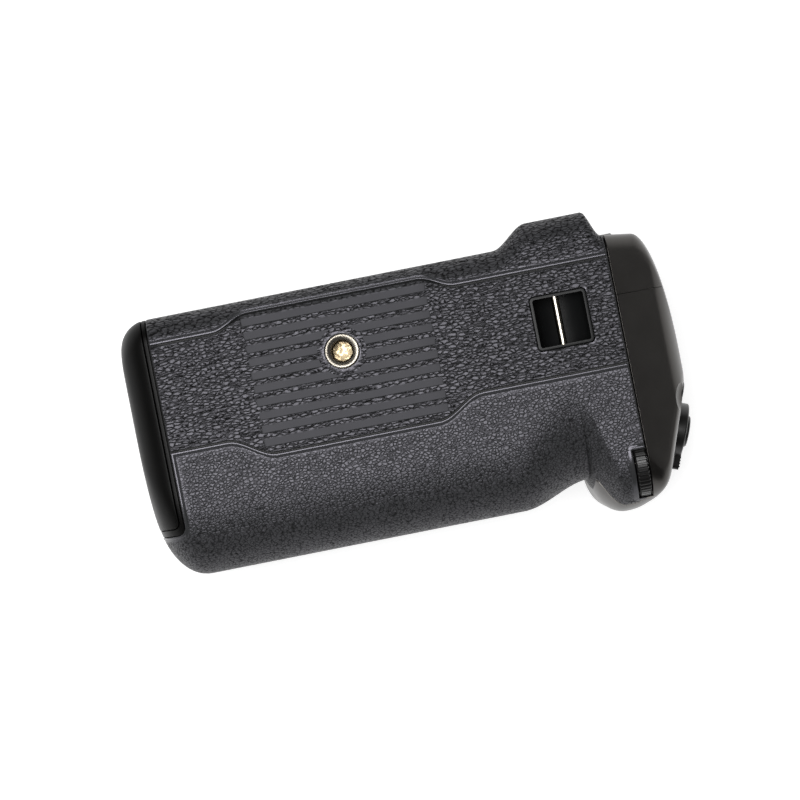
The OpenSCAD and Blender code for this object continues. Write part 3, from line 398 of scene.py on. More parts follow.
def soft_slab(name, half_x, half_y, z, radius, rounding, place=Matrix.Identity(4)):
    """Slab with round corners and a round upper edge."""
    rings = [[(x, y, z[0]) for x, y in soft_box(half_x, half_y, radius)]]
    for inset, rise in [(rounding * (1 - c), rounding * s) for c, s in arc((0, 0), 1, 0, 90, 5)]:
        outline = soft_box(half_x - inset, half_y - inset, max(radius - inset, 0.02))
        rings.append([(x, y, z[1] - rounding + rise) for x, y in outline])
    return placed(loft(name, rings), place)


def rod(place, radius, low, high, sides=64):
    """Cylinder along the local Z axis, as a tool."""
    return turned("tool", [(0, low), (radius, low), (radius, high), (0, high)], place, sides)


def form(d, start=None, end=None, lip=0.0, steps=9):
    """The outer form, set in by d, from start to end along X; a cut end has a round lip."""
    span = tray_corner[0] - d
    places = [d - tray_end + span * (1 - math.cos(math.radians(i * 3.75))) for i in range(25)]
    flank = nose_foot + d
    places += list(np.arange(-43.0, 36.5, 2.0)) + list(np.linspace(37.5, flank - 0.02, 22))
    places += [flank + (nose_full - flank) * (1 - math.cos(math.radians(i * 4.5))) for i in range(21)]
    places += list(np.linspace(nose_full + 0.5, nose_arc[1] - 0.3, 22)) + [skin_end]
    run = control_end - d - nose_arc[1]
    places += [nose_arc[1] + run * math.sin(math.radians(i * 3)) for i in range(31)]
    stations = [(x, d) for x in sorted(places)]
    turn = arc((0, 0), lip, 0, 90, 7) if lip else [(0.0, 0.0)]
    if start is not None:
        kept = [s for s in stations if s[0] > start + lip + 0.05]
        stations = [(start + lip - c, d + lip - s) for c, s in turn] + kept
    if end is not None:
        kept = [s for s in stations if s[0] < end - lip - 0.05]
        stations = kept + [(end - lip + c, d + lip - s) for c, s in reversed(turn)]
    return loft("form", [[(x, y, z) for y, z in Section(x, i).ring(steps)] for x, i in stations])


def platform(along_x=0.0, along_y=0.0):
    """Place on the shutter platform, with Z out of it."""
    turn = Matrix.Rotation(-platform_turn, 4, "Z") @ Matrix.Rotation(math.pi / 2, 4, "Y")
    return Matrix.Translation(shutter_at) @ turn @ Matrix.Translation((along_x, along_y, 0))


def on_rear(x, rise):
    """Place on the rear face, with Z out of it."""
    return Matrix.Translation((x, rear_depth, rise - height)) @ Matrix.Rotation(-math.pi / 2, 4, "X")


def on_axle(at):
    """Place on a dial's axle, with Z along it."""
    return Matrix.Translation(at) @ Matrix.Rotation(math.pi / 2, 4, "Y")


def front_dial_space():
    return rod(on_axle(front_dial_at), dial_r + 0.4, front_dial_span[0] - 0.4, front_dial_span[1] + 0.3, 96)


def rear_dial_space():
    return rod(on_axle(rear_dial_at), dial_r + 0.4, -dial_t / 2 - 0.4, dial_t / 2 + 0.4, 96)


rear_key_at = {"focus_button": (60.0, 17.0, 4.0), "menu_button": (47.0, 17.0, 3.2)}
stick_at = (53.5, 9.0)
stick_r = 3.4
function_at = (-11.5, 9.5)


def rear_holes():
    holes = [rod(on_rear(x, rise), r + 0.4, -5, 8) for x, rise, r in rear_key_at.values()]
    return holes + [rod(on_rear(*stick_at), stick_r + 0.8, -5, 8)]


def plate_space(grow, low, high):
    spots = [(plate_x[0] - grow, plate_x[0])]
    spots += [(x, x) for x in np.linspace(scoop_start, nose_foot - 0.6, 6)]
    spots += [(nose_foot + 0.9 - grow, nose_foot - 0.6), (nose_foot + 6, nose_foot + 6)]
    spots += [(plate_x[1] + grow, plate_x[1])]
    outline = [(x, front_line(at) + 0.75 * Section(at).under - grow) for x, at in spots]
    outline += [(plate_x[1] + grow, rear_depth - 2.6 + grow), (plate_x[0] - grow, rear_depth - 2.6 + grow)]
    return prism(outline, low, high)


def wheel_slot():
    return block((-wheel_half, wheel_half), (rear_depth - 6, far), (wheel_z[0] - 0.4, wheel_z[1] + 0.4))


# Finishes


def add_node(tree, kind, settings=None, sockets=None):
    """Adds one node: its settings first, then the values or links of its sockets."""
    made = tree.nodes.new(kind)
    for name, value in (settings or {}).items():
        setattr(made, name, value)
    for name, value in (sockets or {}).items():
        if isinstance(value, Wire):
            tree.links.new(value.socket, made.inputs[name])
        else:
            made.inputs[name].default_value = value
    return made


class Wire:
    """A node's socket that takes part in Python arithmetic."""

    def __init__(self, tree, socket):
        self.tree = tree
        self.socket = socket

    def maths(self, operation, *values):
        made = add_node(self.tree, "ShaderNodeMath", {"operation": operation}, dict(enumerate(values)))
        return Wire(self.tree, made.outputs[0])

    def __add__(self, other):
        return self.maths("ADD", self, other)

    def __sub__(self, other):
        return self.maths("SUBTRACT", self, other)

    def __rsub__(self, other):
        return self.maths("SUBTRACT", other, self)

    def __mul__(self, other):
        return self.maths("MULTIPLY", self, other)

    def __truediv__(self, other):
        return self.maths("DIVIDE", self, other)

    def __rtruediv__(self, other):
        return self.maths("DIVIDE", other, self)

    __radd__ = __add__
    __rmul__ = __mul__


class Finish:
    """A procedural material under construction."""

    def __init__(self, name):
        self.material = bpy.data.materials.new(name)
        self.material.use_nodes = True
        self.tree = self.material.node_tree
        self.tree.nodes.clear()

    def node(self, kind, settings=None, sockets=None, output=0):
        return Wire(self.tree, add_node(self.tree, kind, settings, sockets).outputs[output])

    def place(self):
        return self.node("ShaderNodeTexCoord", output="Object")

    def vector(self, operation, *values, output=0):
        return self.node("ShaderNodeVectorMath", {"operation": operation}, dict(enumerate(values)), output)

    def noise(self, vector, size, detail=2.0, output="Fac"):
        """Noise whose lumps are about size millimetres wide."""
        sockets = {"Vector": vector, "Scale": 1 / (size * millimetre), "Detail": detail}
        return self.node("ShaderNodeTexNoise", {}, sockets, output)

    def blend(self, factor, first, second):
        return self.node("ShaderNodeMix", {"data_type": "RGBA"}, {0: factor, 6: first, 7: second}, 2)

    def between(self, value, low, high):
        """0 up to low, 1 from high on, with a soft step between them."""
        settings = {"interpolation_type": "SMOOTHSTEP"}
        return self.node("ShaderNodeMapRange", settings, {0: value, 1: low, 2: high})

    def bump(self, relief, depth):
        """Normal from a relief of 0 to 1 that is depth millimetres deep."""
        return self.node("ShaderNodeBump", {}, {"Height": relief, "Distance": depth * millimetre})

    def shader(self, **sockets):
        named = {name.replace("_", " "): value for name, value in sockets.items()}
        return self.node("ShaderNodeBsdfPrincipled", {}, named)

    def surface(self, **sockets):
        return self.output(self.shader(**sockets))

    def output(self, shader):
        add_node(self.tree, "ShaderNodeOutputMaterial", {}, {"Surface": shader})
        return self.material


def grey(level, cool=0.0):
    """Opaque colour of a linear level, a little cool or, below zero, a little warm."""
    return (level * (1 - cool), level, level * (1 + cool), 1.0)


def scaled(colour, factor):
    return tuple(c * factor for c in colour[:3]) + (1.0,)


def leather(name, cell, wander, lean, crack_shade, depth, roughness, smooth):
    """Grained rubber: scales of the given size in X, Y and Z that lean like shingles.

    Cracks of the given width part them, and painted shade of the given strength darkens the cracks,
    more on the low side of each scale. Where the grain attribute is 0 the rubber is smooth, with its own
    roughness.
    """
    skin = Finish(name)
    place = skin.place()
    drift = skin.vector("SUBTRACT", skin.noise(place, 1.3, 2.0, "Color"), (0.5, 0.5, 0.5))
    moved = skin.vector("MULTIPLY_ADD", drift, tuple(w * millimetre for w in wander), place)
    scale = tuple(1 / (c * millimetre) for c in cell)
    stretched = skin.node("ShaderNodeMapping", {}, {"Vector": moved, "Scale": scale})
    sockets = {"Vector": stretched, "Scale": 1.0}
    crease = skin.node("ShaderNodeTexVoronoi", {"feature": "DISTANCE_TO_EDGE"}, sockets, "Distance")
    scales = skin.node("ShaderNodeTexVoronoi", {"feature": "F1"}, sockets, "Distance")
    centre = Wire(skin.tree, scales.socket.node.outputs["Position"])
    within = skin.vector("SUBTRACT", stretched, centre)
    slope = skin.vector("DOT_PRODUCT", within, lean, output="Value")
    fine = skin.noise(place, 0.25, 2.0)
    wear = skin.noise(place, 9.0, 3.0)
    grained = skin.node("ShaderNodeAttribute", {"attribute_name": "grain"}, {}, "Fac")
    plump = skin.between(crease, 0.0, 0.25)
    relief = (slope + plump * 0.3 + fine * 0.08) * grained
    rubber = skin.shader(
        Base_Color=skin.blend(wear * 0.5, grey(0.032, 0.03), grey(0.042, 0.03)),
        Roughness=grained * (roughness - smooth) + (smooth - wear * 0.06),
        Normal=skin.bump(relief, depth),
        Specular_IOR_Level=0.5,
        Specular_Tint=(1.0, 0.97, 1.1, 1.0),
    )
    # Near-black matt shader, mixed into the cracks as painted shade
    hollow = skin.node("ShaderNodeBsdfDiffuse", {}, {"Color": grey(0.006)})
    # Painted shade: the cracks darken more on the low side of each scale, where it slopes away from the light
    painted_low_side_shade = skin.between(slope, -0.08, 0.1) * 0.5 + 0.5
    shade = (1 - skin.between(crease, 0.0, crack_shade[0])) * painted_low_side_shade * grained * crack_shade[1]
    return skin.output(skin.node("ShaderNodeMixShader", {}, {0: shade, 1: rubber, 2: hollow}))


def moulded(name, colour, roughness, grain_size, grain_depth, specular, sheen=grey(1.0)):
    """Moulded plastic or smooth rubber with a fine spark-eroded texture."""
    skin = Finish(name)
    place = skin.place()
    fine = skin.noise(place, grain_size, 2.0)
    wear = skin.noise(place, 7.0, 3.0)
    return skin.surface(
        Base_Color=skin.blend(wear * 0.5, colour, scaled(colour, 1.35)),
        Roughness=roughness + (wear - 0.5) * 0.12,
        Normal=skin.bump(fine, grain_depth),
        Specular_IOR_Level=specular,
        Specular_Tint=sheen,
    )


def turned_metal(name, rim, well, roughness):
    """Metal with turning marks round the socket's axis: a light rim, and a well darkened by painted shade
    with lighter random patches.
    """
    skin = Finish(name)
    place = skin.place()
    across = skin.vector("MULTIPLY", place, (1.0, 1.0, 0.0))
    radius = skin.vector("LENGTH", across, output="Value")
    marks = radius.maths("SINE", radius * (2 * math.pi / (0.22 * millimetre)))
    smear = skin.noise(place, 0.9, 3.0)
    outside = skin.between(radius, 2.4 * millimetre, 2.8 * millimetre)
    # The well's darker colour is painted shade in the socket's recess, with random lighter patches
    shaded_well = skin.blend(skin.between(smear, 0.45, 0.65), well, scaled(well, 4.0))
    return skin.surface(
        Base_Color=skin.blend(outside, shaded_well, rim),
        Metallic=1.0,
        Roughness=roughness + smear * 0.12,
        Normal=skin.bump(marks * 0.35 + smear * 0.3, 0.008),
        Anisotropic=0.85,
    )


def brushed_metal(name, colour, roughness):
    """Plain bright metal with short scratches along Y."""
    skin = Finish(name)
    place = skin.place()
    streak = skin.node("ShaderNodeMapping", {}, {"Vector": place, "Scale": (9.0, 0.5, 9.0)})
    marks = skin.noise(streak, 1.4, 4.0)
    return skin.surface(
        Base_Color=skin.blend(marks, colour, scaled(colour, 0.78)),
        Metallic=1.0,
        Roughness=roughness + marks * 0.15,
        Normal=skin.bump(marks, 0.01),
    )


def board_laminate(name):
    """Circuit board: green mask over rows of copper tracks."""
    skin = Finish(name)
    place = skin.place()
    tracks = skin.node("ShaderNodeTexBrick", {}, {"Vector": place, "Scale": 420.0}, "Fac")
    haze = skin.noise(place, 3.0, 2.0)
    colour = skin.blend(tracks * 0.6 + haze * 0.2, (0.006, 0.06, 0.028, 1), (0.03, 0.14, 0.07, 1))
    return skin.surface(Base_Color=colour, Roughness=0.35 + haze * 0.1, Normal=skin.bump(tracks, 0.02))


# The last pair of each grain gives the width of the cracks and the strength of the painted shade in them
panel_grain = ((1.7, 0.76, 0.76), (1.1, 0.6, 0.6), (0.08, -0.5, 0.1), (0.3, 1.0))
handle_grain = ((0.95, 0.72, 0.72), (0.7, 0.6, 0.6), (0.2, -0.3, 0.1), (0.22, 0.85))
panel_leather = leather("panel_leather", *panel_grain, 0.2, 0.41, 0.26)
handle_leather = leather("handle_leather", *handle_grain, 0.17, 0.43, 0.26)
rib_leather = leather("rib_leather", *panel_grain, 0.2, 0.41, 0.66)
cap_black = moulded("cap_black", grey(0.0022, -0.05), 0.4, 0.14, 0.006, 0.12)
control_black = moulded("control_black", grey(0.0022, -0.06), 0.32, 0.16, 0.006, 0.75, grey(0.95, -0.06))
shell_black = moulded("shell_black", grey(0.012, -0.02), 0.5, 0.2, 0.012, 0.4)
key_black = moulded("key_black", grey(0.01, -0.02), 0.34, 0.12, 0.004, 0.5)
seal_rubber = moulded("seal_rubber", grey(0.008), 0.7, 0.2, 0.01, 0.25)
pocket_black = moulded("pocket_black", grey(0.005, 0.04), 0.42, 0.18, 0.005, 0.22)
sleeve_grey = moulded("sleeve_grey", grey(0.045, 0.06), 0.48, 0.2, 0.01, 0.45)
tray_grey = moulded("tray_grey", grey(0.07, 0.05), 0.45, 0.18, 0.01, 0.45)
battery_case = moulded("battery_case", grey(0.03, 0.03), 0.42, 0.16, 0.008, 0.5)
cable_amber = moulded("cable_amber", (0.32, 0.16, 0.03, 1), 0.35, 0.5, 0.01, 0.5)
switch_white = moulded("switch_white", grey(0.5), 0.4, 0.3, 0.01, 0.5)
# The second colour is the socket well's painted shade
socket_steel = turned_metal("socket_steel", (0.5, 0.46, 0.39, 1), (0.2, 0.16, 0.1, 1), 0.3)
pin_steel = brushed_metal("pin_steel", (0.4, 0.37, 0.32, 1), 0.08)
screw_steel = brushed_metal("screw_steel", (0.32, 0.32, 0.33, 1), 0.32)
bracket_steel = brushed_metal("bracket_steel", (0.55, 0.55, 0.56, 1), 0.38)
contact_gold = brushed_metal("contact_gold", (0.83, 0.6, 0.24, 1), 0.24)
board_green = board_laminate("board_green")


# What repeats


def pattern(name, inputs):
    """New geometry tree with named inputs, and its group input node."""
    tree = bpy.data.node_groups.new(name, "GeometryNodeTree")
    tree.interface.new_socket("Geometry", in_out="OUTPUT", socket_type="NodeSocketGeometry")
    for label, kind in inputs.items():
        tree.interface.new_socket(label, in_out="INPUT", socket_type=kind)
    return tree, tree.nodes.new("NodeGroupInput")


def close_pattern(tree, given, points, rotation=None):
    """Puts the item on the points, makes it real and gives it its material."""
    item = add_node(tree, "GeometryNodeObjectInfo", {}, {"Object": Wire(tree, given.outputs["Item"])})
    sockets = {"Points": points, "Instance": Wire(tree, item.outputs["Geometry"])}
    if rotation:
        sockets["Rotation"] = rotation
    copies = add_node(tree, "GeometryNodeInstanceOnPoints", {}, sockets)
    real = add_node(tree, "GeometryNodeRealizeInstances", {}, {0: Wire(tree, copies.outputs[0])})
    sockets = {"Geometry": Wire(tree, real.outputs[0]), "Material": Wire(tree, given.outputs["Material"])}
    painted = add_node(tree, "GeometryNodeSetMaterial", {}, sockets)
    add_node(tree, "NodeGroupOutput", {}, {0: Wire(tree, painted.outputs[0])})
    return tree


def row_pattern():
    inputs = {
        "Item": "NodeSocketObject",
        "Count": "NodeSocketInt",
        "Start": "NodeSocketVector",
        "Step": "NodeSocketVector",
        "Material": "NodeSocketMaterial",
    }
    tree, given = pattern("row", inputs)
    given_by = {"Count": "Count", "Start Location": "Start", "Offset": "Step"}
    sockets = {name: Wire(tree, given.outputs[source]) for name, source in given_by.items()}
    line = add_node(tree, "GeometryNodeMeshLine", {}, sockets)
    return close_pattern(tree, given, Wire(tree, line.outputs[0]))


def ring_pattern():
    inputs = {
        "Item": "NodeSocketObject",
        "Count": "NodeSocketInt",
        "Radius": "NodeSocketFloat",
        "Material": "NodeSocketMaterial",
    }
    tree, given = pattern("ring", inputs)
    count = Wire(tree, given.outputs["Count"])
    sockets = {"Vertices": count, "Radius": Wire(tree, given.outputs["Radius"])}
    circle = add_node(tree, "GeometryNodeMeshCircle", {}, sockets)
    index = Wire(tree, add_node(tree, "GeometryNodeInputIndex").outputs[0])
    angle = index * (2 * math.pi) / count
    euler = add_node(tree, "ShaderNodeCombineXYZ", {}, {"Z": angle})
    turn = add_node(tree, "FunctionNodeEulerToRotation", {}, {0: Wire(tree, euler.outputs[0])})
    return close_pattern(tree, given, Wire(tree, circle.outputs[0]), Wire(tree, turn.outputs[0]))


row_of = row_pattern()
ring_of = ring_pattern()


def repeated(name, tree, item, **values):
    """Plain mesh of an item repeated by a tree; the item itself is used up."""
    piece = new_piece(name, [], [])
    grow = piece.modifiers.new("repeat", "NODES")
    grow.node_group = tree
    values["Item"] = item
    for socket in tree.interface.items_tree:
        if socket.in_out == "INPUT":
            grow[socket.identifier] = values[socket.name]
    swap_mesh(piece, evaluated_mesh(piece))
    bpy.data.objects.remove(item)
    return piece


# Setting pieces on the frame


def settle(piece, name, body, material, slot, *replaced, sharp=32):
    """Brings a piece to metres, shades it and lets it ride on its body."""
    piece.name = name
    piece.data.name = name
    piece.data.transform(Matrix.Scale(millimetre, 4))
    piece.data.materials.clear()
    piece.data.materials.append(material)
    piece.data.shade_smooth()
    piece.data.set_sharp_from_angle(angle=math.radians(sharp))
    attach(piece, body)
    if replaced:
        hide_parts(*replaced)
    return piece


# Rubber skins

border_rows = (0.0, 0.06, 0.14, 0.24, 0.38, 0.52, 0.64, 0.72, 0.8, 0.9, 1.0, 1.1, 1.25)
edge_rows = (0.0, 0.06, 0.14, 0.25, 0.4, 0.7)


def border_relief(s):
    """Height of the raised smooth border, s millimetres in from a skin's edge."""
    rounding, bead, groove = 0.22, 0.72, 0.38
    if s < bead:
        drop = rounding - math.sqrt(rounding**2 - (rounding - s) ** 2) if s < rounding else 0.0
        return 0.09 * (1 - abs(2 * s / bead - 1) ** 3) - drop
    if s < bead + groove:
        return -0.2 * math.sin(math.pi * (s - bead) / groove) ** 2
    return 0.0


def edge_relief(s):
    rounding = 0.3
    return math.sqrt(rounding**2 - (rounding - s) ** 2) - rounding if s < rounding else 0.0


def graded(first, last, count, head=(0.0,), tail=(0.0,)):
    """Places from first to last: fine steps at the two ends, even steps between them."""
    if last - first < head[-1] + tail[-1] + 1:
        return np.linspace(first, last, count)
    inner = np.linspace(first + head[-1], last - tail[-1], count - len(head) - len(tail) + 2)
    return np.concatenate((first + np.array(head[:-1]), inner, last - np.array(tail[:-1])[::-1]))


class Path:
    """A section path that is read by its length, or by where it passes a y or a z."""

    def __init__(self, points):
        self.points = points
        steps = np.linalg.norm(np.diff(points, axis=0), axis=1)
        self.lengths = np.concatenate(([0.0], np.cumsum(steps)))

    def at(self, places):
        return np.stack([np.interp(places, self.lengths, self.points[:, k]) for k in (0, 1)], axis=1)

    def passing(self, value, axis):
        gone = np.maximum.accumulate(np.abs(self.points[:, axis] - self.points[0, axis]))
        gone = gone + np.arange(len(gone)) * 1e-9
        return float(np.interp(abs(value - self.points[0, axis]), gone, self.lengths))


def point_tree(points):
    tree = kdtree.KDTree(len(points) + 1)
    for k, point in enumerate(points):
        tree.insert(point, k)
    tree.insert((1e3, 1e3, 1e3), len(points))
    tree.balance()
    return tree


def no_window(point):
    return 9.0


def dial_window(point):
    """How far a point of the skin is from the front dial's window."""
    beside = max(front_dial_at[0] + front_dial_span[0] - 0.4 - point[0], 0.0)
    reach = math.hypot(point[1] - front_dial_at[1], point[2] - front_dial_at[2])
    return math.hypot(beside, max(reach - dial_r - 0.4, 0.0) / 0.59)


def skin_piece(name, grid, cells, bordered, holes=(), hole_line=(), window=no_window):
    """A skin of even thickness on a grid of surface points, raised along its bordered edges."""
    columns, rows = grid.shape[:2]
    normal = np.cross(np.gradient(grid, axis=1), np.gradient(grid, axis=0))
    normal /= np.maximum(np.linalg.norm(normal, axis=2, keepdims=True), 1e-9)
    outward = grid - np.array([0.0, core[0], core[1]])
    outward[:, :, 0] = 0
    flip = np.sum(normal * outward) < 0
    if flip:
        normal = -normal
    open_cells = np.pad(cells, 1)
    sides = (
        ((0, 0), (0, 1), (-1, 0)),
        ((0, 1), (1, 1), (0, 1)),
        ((1, 1), (1, 0), (1, 0)),
        ((1, 0), (0, 0), (0, -1)),
    )
    border, bare, walls = [], [], []
    used = np.zeros((columns, rows), bool)
    for i, j in np.argwhere(cells):
        used[i : i + 2, j : j + 2] = True
        for one, two, beyond in sides:
            if not open_cells[i + 1 + beyond[0], j + 1 + beyond[1]]:
                a, b = (i + one[0], j + one[1]), (i + two[0], j + two[1])
                walls.append((a, b))
                (border if bordered[a] and bordered[b] else bare).extend((grid[a], grid[b]))
    border_tree, bare_tree = point_tree(border), point_tree(bare)
    index = -np.ones((columns, rows), int)
    index[used] = np.arange(used.sum())
    outer, inner = [], []
    for i, j in np.argwhere(used):
        point, out = grid[i, j], normal[i, j]
        lift = border_relief(border_tree.find(point)[2]) + edge_relief(bare_tree.find(point)[2])
        lift += border_relief(window(point))
        outer.append(point + out * lift)
        inner.append(point - out * skin_t)
    count = len(outer)
    faces = []
    for i, j in np.argwhere(cells):
        quad = [int(index[c]) for c in ((i, j), (i, j + 1), (i + 1, j + 1), (i + 1, j))]
        if flip:
            quad.reverse()
        faces.append(tuple(quad))
        faces.append(tuple(q + count for q in reversed(quad)))
    for a, b in walls:
        one, two = int(index[a]), int(index[b])
        wall = (two, one, one + count, two + count)
        faces.append(wall[::-1] if flip else wall)
    piece = carve(new_piece(name, outer + inner, faces), *holes)
    bare_tree = point_tree(bare + list(hole_line))
    grain = piece.data.attributes.new("grain", "FLOAT", "POINT")
    for k, vertex in enumerate(piece.data.vertices):
        from_border = border_tree.find(vertex.co)[2]
        from_bare = bare_tree.find(vertex.co)[2]
        from_window = ease(0.95, 1.5, window(vertex.co))
        grain.data[k].value = min(ease(0.95, 1.5, from_border), ease(0.05, 0.3, from_bare), from_window)
    return piece


def base_panel():
    xs = graded(panel_left + seam / 2, skin_end - seam / 2, 110, edge_rows, edge_rows)
    grid = np.zeros((len(xs), 46, 3))
    for i, x in enumerate(xs):
        section = Section(x)
        across = graded(split_front(x) + seam / 2, split_rear(x) - seam / 2, 46, edge_rows, edge_rows)
        grid[i] = [(x, y, section.base_at(y)) for y in across]
    cells = np.ones((grid.shape[0] - 1, grid.shape[1] - 1), bool)
    bordered = np.zeros(grid.shape[:2], bool)
    socket_hole = rod(Matrix.Identity(4), socket_gap_r, -5, 5)
    mouth = [(x + pocket_at[0], y + pocket_at[1]) for x, y in soft_box(7.45, 7.15, 1.2, 9)]
    line = [(x, y, 0.0) for x, y in arc((0, 0), socket_gap_r, 0, 360, 90) + mouth]
    piece = skin_piece("base_panel", grid, cells, bordered, (socket_hole, prism(mouth, -5, 5)), line)
    settle(piece, "base_panel", "housing", panel_leather, "rubber_grain", "base_skin", sharp=50)


def base_ribs():
    pitch = 3.43
    first = -4.5 * pitch - 3.6
    section = [(-1.25, -0.5), (1.3, -0.5), (1.3, -0.04)]
    section += [(y, 0.16 - 0.13 * y) for y in (1.2, 0.95, 0.7, 0.4, 0.0, -0.5, -0.9)]
    section += [(-0.98, 0.24), (-1.2, -0.1)]
    ends = [(-23.7, 0.9, 0.16), (-23.6, 0.97, 0.06), (-23.3, 1.0, 0.0)]
    far_ends = [(-x, wide, low) for x, wide, low in reversed(ends)]
    ends += [(x, 1.0, 0.0) for x in np.linspace(-20, 20, 9)] + far_ends
    bar = loft("bar", [[(x, y * wide, z - low) for y, z in section] for x, wide, low in ends])
    values = {"Count": 10, "Start": (0, first, 0), "Step": (0, pitch, 0), "Material": rib_leather}
    ribs = repeated("ribs", row_of, bar, **values)
    carve(ribs, rod(Matrix.Identity(4), 6.2, -3, 3, 96))
    grain = ribs.data.attributes.new("grain", "FLOAT", "POINT")
    for k, vertex in enumerate(ribs.data.vertices):
        rib = round((vertex.co.y - first) / pitch)
        grain.data[k].value = ease(0.75, 1.25, vertex.co.y - first - rib * pitch)
    settle(ribs, "base_ribs", "housing", rib_leather, "rubber_grain")


def front_grip_skin():
    left = panel_left + seam / 2
    foot = -cap_front - rim_w - seam
    corner = 2.4
    bend = left - corner
    tip = tray_front_tip(foot) + 0.02
    fillet = [bend + corner * math.sin(a) for a in np.linspace(0, math.pi / 2, 12)[1:-1]]
    shoulder = list(graded(tip, bend, 16, edge_rows)) + fillet
    handle = list(graded(left, nose_foot - 3, 88, border_rows))[:-1]
    flank = [nose_foot + (nose_full - nose_foot) * (1 - math.cos(math.radians(i * 3.6))) for i in range(26)]
    nose = list(graded(nose_full + 0.4, skin_end - seam / 2, 20, (0.0,), edge_rows))
    xs = shoulder + handle + list(np.linspace(nose_foot - 3, nose_foot - 0.1, 8)) + flank + nose
    upper, lower = 28, 74
    grid = np.zeros((len(xs), upper + lower - 1, 3))
    for i, x in enumerate(xs):
        path = Path(Section(x).front_path(split_front(x) - seam / 2, 40))
        rise = corner - math.sqrt(corner**2 - min(max(x - bend, 0.0), corner) ** 2)
        turn = path.passing(foot + rise, 0)
        end = path.passing(nose_line(x) + seam / 2 if x > nose_foot else -skin_depth, 1)
        one = graded(0.0, turn, upper, border_rows)
        two = graded(turn, end, lower, border_rows, edge_rows)
        grid[i, :, 0] = x
        grid[i, :, 1:] = path.at(np.concatenate((one[:-1], two)))
    cells = np.ones((grid.shape[0] - 1, grid.shape[1] - 1), bool)
    cells[: len(shoulder), : upper - 1] = False
    bordered = np.ones(grid.shape[:2], bool)
    bordered[-1, 1:] = False
    bordered[0, :] = False
    bordered[:, -1] = False
    piece = skin_piece("front_grip_skin", grid, cells, bordered, (front_dial_space(),), (), dial_window)
    settle(piece, "front_grip_skin", "housing", handle_leather, "rubber_grain", "front_skin", sharp=50)


def rear_grip_skin():
    left, right = panel_left + seam / 2, panel_x - seam / 2
    corner = 2.0
    bend = right + corner
    top = seam / 2 - panel_depth
    handle = list(graded(left, right, 74, border_rows, edge_rows))
    fillet = [bend - corner * math.cos(a) for a in np.linspace(0, math.pi / 2, 10)[1:-1]]
    thumb = list(graded(bend, skin_end - seam / 2, 50, (0.0,), edge_rows))
    xs = handle + fillet + thumb
    upper, lower = 44, 30
    grid = np.zeros((len(xs), upper + lower - 1, 3))
    for i, x in enumerate(xs):
        path = Path(Section(x).rear_path(split_rear(x) + seam / 2, 40))
        turn = path.passing(top - corner + math.sqrt(corner**2 - min(max(bend - x, 0.0), corner) ** 2), 1)
        end = path.passing(-skin_depth, 1)
        one = graded(0.0, turn, upper, border_rows, edge_rows)
        two = graded(turn, end, lower, (0.0,), edge_rows)
        grid[i, :, 0] = x
        grid[i, :, 1:] = path.at(np.concatenate((one[:-1], two)))
    cells = np.ones((grid.shape[0] - 1, grid.shape[1] - 1), bool)
    cells[len(handle) - 1 :, upper - 1 :] = False
    bordered = np.zeros(grid.shape[:2], bool)
    bordered[:, 0] = True
    piece = skin_piece("rear_grip_skin", grid, cells, bordered, (wheel_slot(),))
    settle(piece, "rear_grip_skin", "housing", panel_leather, "rubber_grain", "rear_skin", sharp=50)


# Hard shells


def handle_shell():
    shell = form(shell_in, shell_left, skin_end)
    band = form(flush, shell_left, nose_foot - seam / 2)
    front_part = block((shell_left, nose_foot - seam / 2), (-far, 0), (-far, -skin_depth - seam))
    rear_part = block((shell_left, panel_x - seam / 2), (-1, far), (-far, -skin_depth - seam))
    tongue = form(cover_t + 0.15, skin_end - 1, skin_end + 1.3)
    joined(shell, shared(band, joined(front_part, rear_part)), tongue)
    carve(shell, form(cavity_in, shell_left - 3, skin_end + 3))
    carve(shell, plate_space(seam / 2, -far, plate_top), plate_space(-1.5, -far, plate_top + 4))
    carve(shell, rod(Matrix.Identity(4), 4.4, -5, 5))
    carve(shell, block((48.6, 63.4), (-10.1, 4.1), (-9.4, 2)), front_dial_space(), rear_dial_space())
    carve(shell, *rear_holes(), wheel_slot())
    settle(shell, "handle_shell", "housing", shell_black, "shell_black", "main_shell")


def tray_end_frame():
    inner = cap_round + seam
    bend = arc((cap_seam - inner, -cap_front - seam + inner), inner, 0, -90, 9)
    right = panel_left - seam / 2
    outline = [(-far, -cap_front - rim_w), (right, -cap_front - rim_w), (right, far), (cap_seam, far)]
    outline += bend + [(-far, -cap_front - seam)]
    region = prism(outline, -far, far)
    joined(region, block((-far, panel_left), (-far, far), (-far, -cap_depth - seam)))
    joined(region, block((-far, panel_left), (-far, -cap_front - rim_w), (-far, -skin_depth - seam)))
    rim = shared(form(flush, None, panel_left - seam / 2, 0.12), region)
    backing = form(shell_in, None, shell_left - flush)
    behind = block((cap_seam, far), (-far, far), (-far, far))
    joined(behind, block((-far, panel_left), (-far, -cap_front - seam - cap_round), (-far, far)))
    joined(rim, shared(backing, behind))
    carve(rim, block((cap_seam - 1, 0), (-32.9, 8.9), (-35.0, -11.0)))
    carve(rim, block((cap_seam - 1, cap_seam + 0.8), (-34.2, 10.2), (-36.3, -9.7)))
    carve(rim, block((latch_x - 0.8, latch_x + 0.8), (7.9, 13.4), (-24.9, -21.1)))
    settle(rim, "tray_end_frame", "housing", cap_black, "shell_black", "end_frame")


